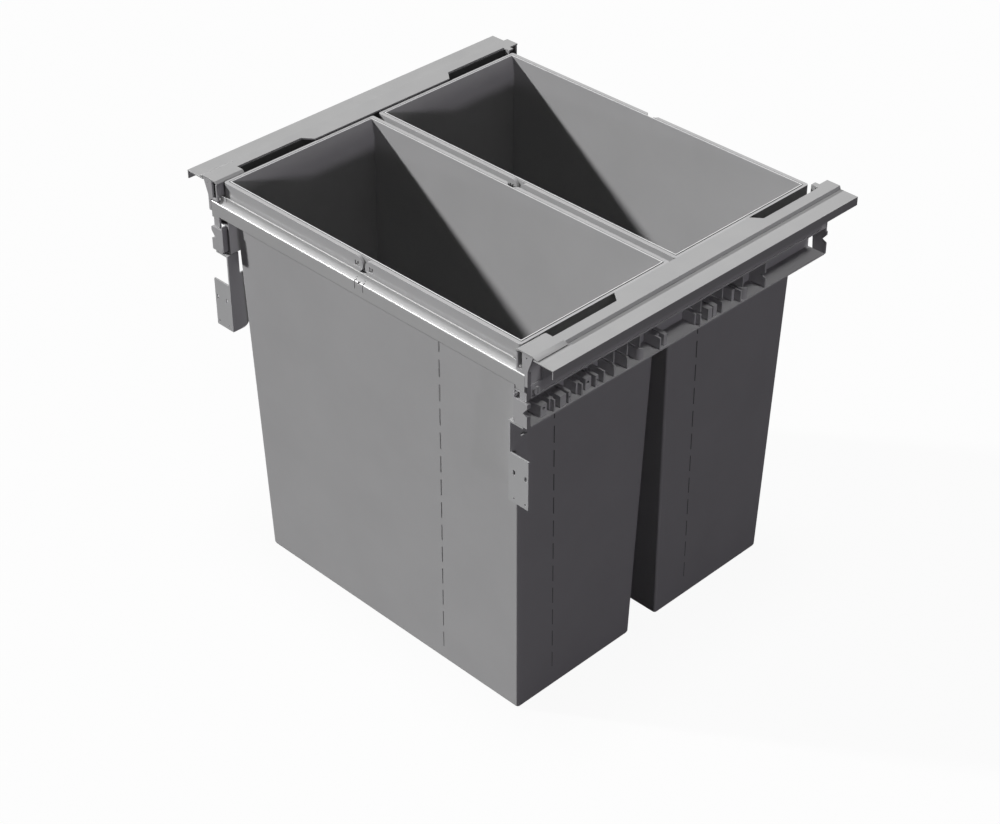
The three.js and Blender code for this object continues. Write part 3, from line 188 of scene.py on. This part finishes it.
def moulded_grain():
    """Fine pitted grain with slow cloudy change, as on a moulded or powder-coated surface."""
    group, start, end = new_group(
        "moulded_grain", [("Grain Scale", 1600.0), ("Cloud Scale", 14.0)], ["Cloud", "Speck", "Height"]
    )
    place = node(group, "ShaderNodeTexCoord").outputs["Object"]
    cloud = noise(group, place, start.outputs["Cloud Scale"], 4.0, 0.6)
    grain = noise(group, place, start.outputs["Grain Scale"], 2.0, 0.55)
    finer = math_node(group, "MULTIPLY", start.outputs["Grain Scale"], 2.7)
    pits = node(group, "ShaderNodeTexVoronoi", {"Randomness": 1.0}, feature="SMOOTH_F1")
    group.links.new(place, pits.inputs["Vector"])
    group.links.new(start.outputs["Grain Scale"], pits.inputs["Scale"])
    fine = noise(group, place, finer, 1.0)
    height = math_node(group, "ADD", math_node(group, "MULTIPLY", pits.outputs["Distance"], 0.6), fine)
    group.links.new(remap(group, cloud, 0.3, 0.7), end.inputs["Cloud"])
    group.links.new(remap(group, grain, 0.3, 0.7), end.inputs["Speck"])
    group.links.new(height, end.inputs["Height"])
    return group


def edge_wear():
    """1 along outer edges, broken up by noise, 0 on flat surfaces; used for edge wear and for a painted
    highlight along edges.
    """
    group, start, end = new_group("edge_wear", [("Width", 0.0008), ("Break Up", 220.0)], ["Mask"])
    rounded = node(group, "ShaderNodeBevel", samples=4)
    group.links.new(start.outputs["Width"], rounded.inputs["Radius"])
    surface = node(group, "ShaderNodeNewGeometry")
    facing = node(group, "ShaderNodeVectorMath", operation="DOT_PRODUCT")
    group.links.new(rounded.outputs["Normal"], facing.inputs[0])
    group.links.new(surface.outputs["Normal"], facing.inputs[1])
    edge = remap(group, facing.outputs["Value"], 0.995, 0.88)
    place = node(group, "ShaderNodeTexCoord").outputs["Object"]
    broken = remap(group, noise(group, place, start.outputs["Break Up"], 3.0, 0.6), 0.35, 0.65, 0.35, 1.0)
    group.links.new(math_node(group, "MULTIPLY", edge, broken, clamp=True), end.inputs["Mask"])
    return group


def settled_dust():
    """A thin uneven film on surfaces that face up."""
    group, start, end = new_group("settled_dust", [("Patch Scale", 30.0)], ["Mask"])
    surface = node(group, "ShaderNodeNewGeometry")
    split = node(group, "ShaderNodeSeparateXYZ")
    group.links.new(surface.outputs["Normal"], split.inputs[0])
    up = remap(group, split.outputs["Z"], 0.5, 1.0)
    place = node(group, "ShaderNodeTexCoord").outputs["Object"]
    patch = remap(group, noise(group, place, start.outputs["Patch Scale"], 5.0, 0.65), 0.38, 0.68)
    group.links.new(math_node(group, "MULTIPLY", up, patch, clamp=True), end.inputs["Mask"])
    return group


def crevices():
    """Mask for painted shade: 1 in grooves, slits and corners, 0 in the open."""
    group, start, end = new_group("crevices", [("Reach", 0.0016)], ["Mask"])
    hidden = node(group, "ShaderNodeAmbientOcclusion", samples=4)
    group.links.new(start.outputs["Reach"], hidden.inputs["Distance"])
    group.links.new(remap(group, hidden.outputs["AO"], 0.85, 0.35), end.inputs["Mask"])
    return group


def under_cover():
    """Mask for painted shade: 1 above a height and nearer to the middle than a half-width, 0 elsewhere."""
    group, start, end = new_group("under_cover", [("Height", 0.0), ("Half Width", 0.1)], ["Mask"])
    split = node(group, "ShaderNodeSeparateXYZ")
    group.links.new(node(group, "ShaderNodeTexCoord").outputs["Object"], split.inputs[0])
    above = math_node(group, "GREATER_THAN", split.outputs["Z"], start.outputs["Height"])
    aside = math_node(group, "ABSOLUTE", split.outputs["X"])
    near = math_node(group, "LESS_THAN", aside, start.outputs["Half Width"])
    group.links.new(math_node(group, "MULTIPLY", above, near), end.inputs["Mask"])
    return group


def rolled_lines():
    """Fine lines along the depth of the unit, as on rolled or drawn steel."""
    group, start, end = new_group("rolled_lines", [("Line Scale", 900.0)], ["Shade", "Height"])
    place = node(group, "ShaderNodeTexCoord").outputs["Object"]
    stretch = node(group, "ShaderNodeVectorMath", operation="MULTIPLY")
    stretch.inputs[1].default_value = (1.0, 0.02, 1.0)
    group.links.new(place, stretch.inputs[0])
    lines = noise(group, stretch.outputs[0], start.outputs["Line Scale"], 3.0, 0.6)
    group.links.new(remap(group, lines, 0.3, 0.7), end.inputs["Shade"])
    group.links.new(lines, end.inputs["Height"])
    return group


GROUPS = {}


def shared_group(maker):
    if maker.__name__ not in GROUPS:
        GROUPS[maker.__name__] = maker()
    return GROUPS[maker.__name__]


def place_group(tree, maker, **values):
    made = tree.nodes.new("ShaderNodeGroup")
    made.node_tree = shared_group(maker)
    for key, value in values.items():
        made.inputs[key.replace("_", " ")].default_value = value
    return made


# ---- Materials ---------------------------------------------------------------------------------


def shade(rgb, factor):
    return (*(min(1.0, c * factor) for c in rgb), 1.0)


def mix_colour(tree, factor, first, second):
    made = node(tree, "ShaderNodeMix", data_type="RGBA")
    tree.links.new(factor, made.inputs["Factor"])
    for key, value in (("A", first), ("B", second)):
        socket = next(s for s in made.inputs if s.name == key and s.type == "RGBA")
        if isinstance(value, tuple):
            socket.default_value = value
        else:
            tree.links.new(value, socket)
    return next(s for s in made.outputs if s.type == "RGBA")


def new_material(name):
    material = bpy.data.materials.new(name)
    material.use_nodes = True
    return material, material.node_tree, material.node_tree.nodes["Principled BSDF"]


def bumped(tree, shader, height, distance):
    bump = node(tree, "ShaderNodeBump", {"Strength": 1.0, "Distance": distance})
    tree.links.new(height, bump.inputs["Height"])
    tree.links.new(bump.outputs["Normal"], shader.inputs["Normal"])


def coated(
    name,
    rgb,
    roughness,
    grain=1600.0,
    depth=0.02,
    wear=0.25,
    wear_and_highlight_tone=1.25,
    speck=0.04,
    dust=0.12,
    bounce=1.0,
    shine=0.4,
    metal=0.0,
    painted_shade_box=None,
):
    """Moulded plastic or powder coat: cloudy colour, fine grain, paler edges that are partly wear and partly
    a painted highlight, painted shade in crevices and a little dust on top.

    bounce scales the colour that bounced light sees, so under 1 the surface lights its neighbours less than
    it should. shine is how strongly edges glint. painted_shade_box is a height and a half-width, above and
    inside which the colour is painted near-black as painted shade.
    """
    material, tree, shader = new_material(name)
    grains = place_group(tree, moulded_grain, Grain_Scale=grain)
    edges = place_group(tree, edge_wear)
    dusty = place_group(tree, settled_dust)
    cloudy = mix_colour(tree, grains.outputs["Cloud"], shade(rgb, 0.975), shade(rgb, 1.02))
    specked_by = math_node(tree, "MULTIPLY", grains.outputs["Speck"], speck)
    specked = mix_colour(tree, specked_by, cloudy, shade(rgb, 0.55))
    # Edges are lightened, partly as wear and partly as a painted highlight.
    wear_and_highlight_by = math_node(tree, "MULTIPLY", edges.outputs["Mask"], wear)
    edged = mix_colour(tree, wear_and_highlight_by, specked, shade(rgb, wear_and_highlight_tone))
    dust_by = math_node(tree, "MULTIPLY", dusty.outputs["Mask"], dust)
    dusted = mix_colour(tree, dust_by, edged, (0.56, 0.55, 0.53, 1.0))
    # Painted shade: the colour is darkened in grooves, slits and corners where shade falls.
    crevice_shade_by = math_node(tree, "MULTIPLY", place_group(tree, crevices).outputs["Mask"], 0.6)
    shaded = mix_colour(tree, crevice_shade_by, dusted, shade(rgb, 0.4))
    path = node(tree, "ShaderNodeLightPath")
    final = mix_colour(tree, path.outputs["Is Diffuse Ray"], shaded, shade(rgb, bounce))
    if painted_shade_box is not None:
        # Painted shade: the part above the height and inside the half-width is coloured near-black.
        cover_shade = place_group(tree, under_cover, Height=painted_shade_box[0], Half_Width=painted_shade_box[1])
        final = mix_colour(tree, cover_shade.outputs["Mask"], final, shade(rgb, 0.1))
    tree.links.new(final, shader.inputs["Base Color"])
    varied = remap(tree, grains.outputs["Cloud"], 0.0, 1.0, roughness - 0.03, roughness + 0.04)
    rough = math_node(tree, "ADD", varied, math_node(tree, "MULTIPLY", dust_by, 0.6), clamp=True)
    tree.links.new(rough, shader.inputs["Roughness"])
    shader.inputs["Specular IOR Level"].default_value = shine
    shader.inputs["Metallic"].default_value = metal
    bumped(tree, shader, grains.outputs["Height"], depth * MM)
    return material


def rolled_steel(name, rgb, roughness):
    """Zinc-plated rolled steel with fine lines along it and duller patches."""
    material, tree, shader = new_material(name)
    lines = place_group(tree, rolled_lines)
    grains = place_group(tree, moulded_grain, Grain_Scale=700.0, Cloud_Scale=30.0)
    edges = place_group(tree, edge_wear)
    striped = mix_colour(tree, lines.outputs["Shade"], shade(rgb, 0.86), shade(rgb, 1.08))
    dulled_by = math_node(tree, "MULTIPLY", grains.outputs["Cloud"], 0.35)
    dulled = mix_colour(tree, dulled_by, striped, shade(rgb, 0.8))
    edged = mix_colour(tree, math_node(tree, "MULTIPLY", edges.outputs["Mask"], 0.4), dulled, shade(rgb, 1.3))
    tree.links.new(edged, shader.inputs["Base Color"])
    shader.inputs["Metallic"].default_value = 0.35
    rough = remap(tree, lines.outputs["Shade"], 0.0, 1.0, roughness - 0.06, roughness + 0.1)
    tree.links.new(rough, shader.inputs["Roughness"])
    bumped(tree, shader, lines.outputs["Height"], 0.01 * MM)
    return material


MATERIALS = {}
TINTS = {"profile_plastic": "frame_plastic"}
# Height and half-width of the side profile's upper box, which is coloured dark as painted shade.
BOX_FLOOR = -31.5 * MM
COVER_EDGE = 242.4 * MM


def material_for(slot):
    """The material of a record slot, of the side profiles with their painted shade, of the seams' painted
    shade or of the beads' painted highlight, made on its first use.
    """
    if slot in MATERIALS:
        return MATERIALS[slot]
    tint = tuple(getattr(bpy.context.scene.waste_finishes, TINTS.get(slot, slot)))
    makers = {
        "bin_plastic": lambda: coated(
            slot, tint, 0.36, grain=1500.0, depth=0.01, wear=0.5, wear_and_highlight_tone=1.5, speck=0.05, shine=0.5, bounce=0.32
        ),
        "frame_plastic": lambda: coated(slot, tint, 0.48, grain=1300.0, depth=0.02, wear=0.3, speck=0.05),
        # The side profiles' material paints shade onto their upper box under the cover.
        "profile_plastic": lambda: coated(
            slot, tint, 0.48, grain=1300.0, depth=0.02, wear=0.3, speck=0.05, painted_shade_box=(BOX_FLOOR, COVER_EDGE)
        ),
        "cover_paint": lambda: coated(
            slot, tint, 0.3, grain=2400.0, depth=0.008, wear=0.5, wear_and_highlight_tone=1.4, speck=0.03
        ),
        "frame_paint": lambda: coated(
            slot, tint, 0.34, grain=2400.0, depth=0.005, wear=0.35, speck=0.03, shine=1.0, metal=0.2
        ),
        "bracket_paint": lambda: coated(slot, tint, 0.4, grain=2400.0, depth=0.012, wear=0.35, speck=0.03),
        "bin_seam": lambda: coated(slot, tint, 0.5, grain=1500.0),
        "bin_bead": lambda: coated(slot, tint, 0.36, grain=1500.0),
        "runner_steel": lambda: rolled_steel(slot, tint, 0.32),
        "screw_steel": lambda: rolled_steel(slot, tint, 0.26),
        "cage_plastic": lambda: coated(slot, tint, 0.5, grain=1300.0, wear=0.2, wear_and_highlight_tone=1.6),
        "buffer_rubber": lambda: coated(slot, tint, 0.75, grain=900.0, depth=0.04, wear=0.15, wear_and_highlight_tone=1.5),
    }
    MATERIALS[slot] = makers[slot]()
    return MATERIALS[slot]


# ---- Shared mesh work --------------------------------------------------------------------------


def soften(obj, width):
    """Rounds the edges of a CAD node without touching its vertices."""
    weld = obj.modifiers.new("join_faces", "WELD")
    weld.merge_threshold = 1e-6
    flat = obj.modifiers.new("merge_flats", "DECIMATE")
    flat.decimate_type = "DISSOLVE"
    flat.angle_limit = math.radians(0.6)
    bevel = obj.modifiers.new("round_edges", "BEVEL")
    bevel.width = width
    bevel.segments = 2
    bevel.limit_method = "ANGLE"
    bevel.angle_limit = math.radians(32)
    bevel.harden_normals = False
    bevel.miter_outer = "MITER_ARC"
    normals = obj.modifiers.new("even_normals", "WEIGHTED_NORMAL")
    normals.weight = 80
    normals.keep_sharp = False


def dress(names, slot, width):
    """Gives CAD nodes their material and rounded edges."""
    for name in names:
        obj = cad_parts[name]
        obj.data.materials.clear()
        obj.data.materials.append(material_for(slot))
        soften(obj, width)


def both(*names):
    return [f"{name}_{side}" for name in names for side in SIDES]


def piece_from(name, mesh_maker, body, finish):
    """A new piece whose mesh is filled by mesh_maker(bm), riding on a body, in a finish of its own."""
    bm = bmesh.new()
    mesh_maker(bm)
    bmesh.ops.recalc_face_normals(bm, faces=bm.faces)
    mesh = bpy.data.meshes.new(name)
    bm.to_mesh(mesh)
    bm.free()
    obj = bpy.data.objects.new(name, mesh)
    bpy.context.scene.collection.objects.link(obj)
    mesh.materials.append(material_for(finish))
    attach(obj, body)
    return obj


def add_ridge(bm, start, finish, across, out, width, height, crown_share=0.4):
    """A low ridge with sloped flanks from start to finish on a wall that faces out."""
    half, crown = across * (width / 2), across * (width * crown_share / 2)
    base, top = out * (-0.2 * MM), out * height
    rings = []
    for end in (start, finish):
        rings.append([bm.verts.new(end + p) for p in (-half + base, half + base, crown + top, -crown + top)])
    for i in range(4):
        j = (i + 1) % 4
        bm.faces.new((rings[0][i], rings[0][j], rings[1][j], rings[1][i]))
    bm.faces.new(rings[0])
    bm.faces.new(list(reversed(rings[1])))


# ---- Operators, one for each group of pieces -----------------------------------------------------


class WASTE_OT_bins(bpy.types.Operator):
    """Finish the two moulded bins"""

    bl_idname = "waste_unit.bins"
    bl_label = "Bins"

    def execute(self, context):
        dress(("front_bin", "rear_bin"), "bin_plastic", context.scene.waste_details.bin_edge)
        return {"FINISHED"}


class WASTE_OT_bars(bpy.types.Operator):
    """Finish the front rail, the cross bar and the rear rail"""

    bl_idname = "waste_unit.bars"
    bl_label = "Bars"

    def execute(self, context):
        dress(("front_rail", "cross_bar", "rear_rail"), "frame_paint", context.scene.waste_details.sheet_edge)
        return {"FINISHED"}


class WASTE_OT_profiles(bpy.types.Operator):
    """Finish the side profiles and their end plates"""

    bl_idname = "waste_unit.profiles"
    bl_label = "Side profiles"

    def execute(self, context):
        edge = context.scene.waste_details.sheet_edge
        # profile_plastic paints shade onto the upper box of each side profile.
        dress(both("side_profile"), "profile_plastic", edge)
        dress(both("front_end_plate", "rear_end_plate"), "frame_plastic", edge)
        return {"FINISHED"}


class WASTE_OT_covers(bpy.types.Operator):
    """Finish the side covers and the cabinet rails"""

    bl_idname = "waste_unit.covers"
    bl_label = "Covers"

    def execute(self, context):
        dress(both("side_cover", "cabinet_rail"), "cover_paint", context.scene.waste_details.sheet_edge)
        return {"FINISHED"}


class WASTE_OT_brackets(bpy.types.Operator):
    """Finish the two door brackets"""

    bl_idname = "waste_unit.brackets"
    bl_label = "Door brackets"

    def execute(self, context):
        dress(both("door_bracket"), "bracket_paint", context.scene.waste_details.sheet_edge)
        return {"FINISHED"}


class WASTE_OT_runners(bpy.types.Operator):
    """Finish the bearing rails, ball cages, stops, screws and height adjusters"""

    bl_idname = "waste_unit.runners"
    bl_label = "Runners"

    def execute(self, context):
        edge = context.scene.waste_details.fine_edge
        dress(both("middle_rail", "carriage_rail"), "runner_steel", edge)
        dress(both("outer_ball_cage", "inner_ball_cage"), "cage_plastic", edge / 2)
        dress(both("stop_buffer"), "buffer_rubber", edge)
        dress(both("bracket_screw", "runner_screw_front", "runner_screw_rear"), "screw_steel", edge)
        dress(both("height_adjuster"), "frame_plastic", edge)
        return {"FINISHED"}


# Two points of each witness line, in mm, the direction it spreads, the way its wall faces, its strength.
WITNESS_LINES = {
    "front_bin": [
        ((105.0, 13.9, -40.0), (91.0, 26.6, -488.0), (1, 0, 0), (0, -1, 0), 0.55),
        ((220.0, 67.5, -62.0), (209.9, 81.5, -488.0), (0, 1, 0), (1, 0, 0), 1.6),
    ],
    "rear_bin": [
        ((220.0, 291.5, -62.0), (209.9, 305.5, -488.0), (0, 1, 0), (1, 0, 0), 1.6),
    ],
}


class WASTE_OT_witness_lines(bpy.types.Operator):
    """Mould the dashed witness lines on the bins, coloured dark as painted shade"""

    bl_idname = "waste_unit.witness_lines"
    bl_label = "Witness lines"

    def execute(self, context):
        details = context.scene.waste_details
        for name, lines in WITNESS_LINES.items():

            def dashes(bm):
                for start, finish, across, out, strength in lines:
                    start, finish = Vector(start) * MM, Vector(finish) * MM
                    run = finish - start
                    way = run.normalized()
                    at = 0.0
                    while at + details.dash < run.length:
                        add_ridge(
                            bm,
                            start + way * at,
                            start + way * (at + details.dash),
                            Vector(across),
                            Vector(out),
                            details.seam_width * strength,
                            details.seam_height * strength,
                        )
                        at += details.dash + details.dash_gap

            # The dashes are coloured dark, painted shade along each witness line.
            piece_from(f"{name}_witness_lines", dashes, name, "bin_seam")
        return {"FINISHED"}


# The middle line of each bin's bead: half its width, its front and its back, in mm, and its height.
MOUTHS = {"front_bin": (223.15, 14.65, 222.85), "rear_bin": (223.15, 243.75, 451.95)}
RIM_TOP = 7.25


class WASTE_OT_beads(bpy.types.Operator):
    """Crown the beads round the bins' mouths with a pale strip that is a painted highlight"""

    bl_idname = "waste_unit.beads"
    bl_label = "Mouth beads"

    def execute(self, context):
        details = context.scene.waste_details
        for name, (half, front, back) in MOUTHS.items():
            corners = [(-half, front), (half, front), (half, back), (-half, back)]
            points = [Vector((x, y, RIM_TOP)) * MM for x, y in corners]

            def ring(bm):
                for at, start in enumerate(points):
                    finish = points[(at + 1) % 4]
                    way = (finish - start).normalized()
                    across = Vector((-way.y, way.x, 0.0))
                    spare = way * (details.bead_width / 2)
                    add_ridge(
                        bm,
                        start - spare if at % 2 == 0 else start + spare,
                        finish + spare if at % 2 == 0 else finish - spare,
                        across,
                        Vector((0, 0, 1)),
                        details.bead_width,
                        details.bead_height,
                        crown_share=0.9,
                    )

            # The crown is coloured pale, a painted highlight along the bead.
            piece_from(f"{name}_mouth_bead", ring, name, "bin_bead")
        return {"FINISHED"}


# The photograph's camera: its place in metres, its lens in mm, and how far it looks down and round.
CAMERA_PLACE = (1.50322, -1.29471, 1.21603)
CAMERA_LENS = 80.534
LOOKS_DOWN = 35.264
LOOKS_ROUND = 45.0
FLOOR_REACH = 12.0
FLOOR_GLOW_SHARE = 0.96


def lamp(name, strength, travel, spread, tint=(1.0, 1.0, 1.0)):
    """A far lamp whose light travels the given way and spreads by an angle in degrees."""
    data = bpy.data.lights.new(name, "SUN")
    data.energy = strength
    data.angle = math.radians(spread)
    data.color = tint
    obj = bpy.data.objects.new(name, data)
    bpy.context.scene.collection.objects.link(obj)
    obj.rotation_euler = Vector(travel).to_track_quat("-Z", "Y").to_euler()
    return obj


def lights_only(light, names):
    """Keeps the light to the named nodes, which alone shade each other from it."""
    lit = bpy.data.collections.new(f"{light.name}_lights")
    for name in names:
        lit.objects.link(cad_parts[name])
    light.light_linking.receiver_collection = lit
    light.light_linking.blocker_collection = lit


def casts_no_shadow(light, names):
    """Lets the light pass through the named nodes, so that they throw no shadow from it."""
    passed = bpy.data.collections.new(f"{light.name}_passes")
    for name in names:
        passed.objects.link(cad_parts[name])
    for member in passed.collection_objects:
        member.light_linking.link_state = "EXCLUDE"
    light.light_linking.blocker_collection = passed


def floor_material(whiteness):
    """Pale floor: nearly white to the camera with a faint shadow, almost black to all other rays."""
    material, tree, shader = new_material("pale_floor")
    shader.inputs["Base Color"].default_value = (0.02, 0.02, 0.02, 1.0)
    shader.inputs["Roughness"].default_value = 0.9
    pale = node(tree, "ShaderNodeBsdfDiffuse", {"Color": (0.9, 0.9, 0.9, 1.0)})
    glow = node(tree, "ShaderNodeEmission", {"Color": (1.0, 1.0, 1.0, 1.0), "Strength": whiteness})
    veil = node(tree, "ShaderNodeMixShader", {"Fac": FLOOR_GLOW_SHARE})
    tree.links.new(pale.outputs[0], veil.inputs[1])
    tree.links.new(glow.outputs[0], veil.inputs[2])
    final = node(tree, "ShaderNodeMixShader")
    path = node(tree, "ShaderNodeLightPath")
    tree.links.new(path.outputs["Is Camera Ray"], final.inputs[0])
    tree.links.new(shader.outputs[0], final.inputs[1])
    tree.links.new(veil.outputs[0], final.inputs[2])
    tree.links.new(final.outputs[0], tree.nodes["Material Output"].inputs["Surface"])
    return material


class WASTE_OT_stage(bpy.types.Operator):
    """Set the floor, the lamps, the background and the camera"""

    bl_idname = "waste_unit.stage"
    bl_label = "Stage"

    def execute(self, context):
        stage = context.scene.waste_stage
        ground = CAD_BOUNDS[0].z - MM
        mesh = bpy.data.meshes.new("floor")
        corners = [(x * FLOOR_REACH, y * FLOOR_REACH) for x, y in ((-1, -1), (1, -1), (1, 1), (-1, 1))]
        mesh.from_pydata([(x, y, ground) for x, y in corners], [], [(0, 1, 2, 3)])
        mesh.materials.append(floor_material(stage.backdrop))
        floor = bpy.data.objects.new("floor", mesh)
        context.scene.collection.objects.link(floor)

        key = lamp("key_lamp", stage.key, (1.47, 1.03, -1.0), 3.5)
        casts_no_shadow(key, both("door_bracket"))
        lamp("top_lamp", stage.top, (0.0, 0.0, -1.0), 16.0)
        channel = lamp("channel_lamp", stage.channel, (-0.45, -0.15, -1.0), 12.0)
        lights_only(channel, both("side_profile", "height_adjuster", "carriage_rail", "runner_screw_front"))
        lamp("fill_lamp", stage.fill, (-1.0, 0.25, -0.08), 2.0, (0.95, 0.9, 1.0))

        world = bpy.data.worlds.new("studio")
        context.scene.world = world
        world.use_nodes = True
        tree = world.node_tree
        tree.nodes.clear()
        cool, white = (0.98, 0.97, 1.0, 1.0), (1.0, 1.0, 1.0, 1.0)
        soft = node(tree, "ShaderNodeBackground", {"Color": cool, "Strength": stage.ambient})
        seen = node(tree, "ShaderNodeBackground", {"Color": white, "Strength": stage.backdrop})
        blend = node(tree, "ShaderNodeMixShader")
        path = node(tree, "ShaderNodeLightPath")
        tree.links.new(path.outputs["Is Camera Ray"], blend.inputs[0])
        tree.links.new(soft.outputs[0], blend.inputs[1])
        tree.links.new(seen.outputs[0], blend.inputs[2])
        tree.links.new(blend.outputs[0], node(tree, "ShaderNodeOutputWorld").inputs["Surface"])

        data = bpy.data.cameras.new("camera")
        data.sensor_width = 36.0
        data.lens = CAMERA_LENS
        camera = bpy.data.objects.new("camera", data)
        context.scene.collection.objects.link(camera)
        camera.location = CAMERA_PLACE
        camera.rotation_euler = Euler((math.radians(90.0 - LOOKS_DOWN), 0.0, math.radians(LOOKS_ROUND)))
        context.scene.camera = camera
        context.scene.view_settings.view_transform = "Standard"
        return {"FINISHED"}


OPERATORS = (
    WASTE_OT_bins,
    WASTE_OT_bars,
    WASTE_OT_profiles,
    WASTE_OT_covers,
    WASTE_OT_brackets,
    WASTE_OT_runners,
    WASTE_OT_witness_lines,
    WASTE_OT_beads,
    WASTE_OT_stage,
)


class WASTE_PT_panel(bpy.types.Panel):
    """Lists the steps that finish the waste unit"""

    bl_idname = "WASTE_PT_panel"
    bl_label = "Waste unit"
    bl_space_type = "VIEW_3D"
    bl_region_type = "UI"
    bl_category = "Waste unit"

    def draw(self, context):
        for settings in ("waste_finishes", "waste_details", "waste_stage"):
            box = self.layout.box()
            group = getattr(context.scene, settings)
            for key in group.__annotations__:
                box.prop(group, key)
        for step in OPERATORS:
            self.layout.operator(step.bl_idname)


SETTINGS = {
    "waste_finishes": WASTE_PG_finishes,
    "waste_details": WASTE_PG_details,
    "waste_stage": WASTE_PG_stage,
}


def register():
    for kind in (*SETTINGS.values(), *OPERATORS, WASTE_PT_panel):
        bpy.utils.register_class(kind)
    for name, kind in SETTINGS.items():
        setattr(bpy.types.Scene, name, PointerProperty(type=kind))


def unregister():
    for name in SETTINGS:
        delattr(bpy.types.Scene, name)
    for kind in reversed((*SETTINGS.values(), *OPERATORS, WASTE_PT_panel)):
        bpy.utils.unregister_class(kind)


def main():
    register()
    for step in OPERATORS:
        group, name = step.bl_idname.split(".")
        getattr(getattr(bpy.ops, group), name)()


if __name__ == "__main__":
    main()
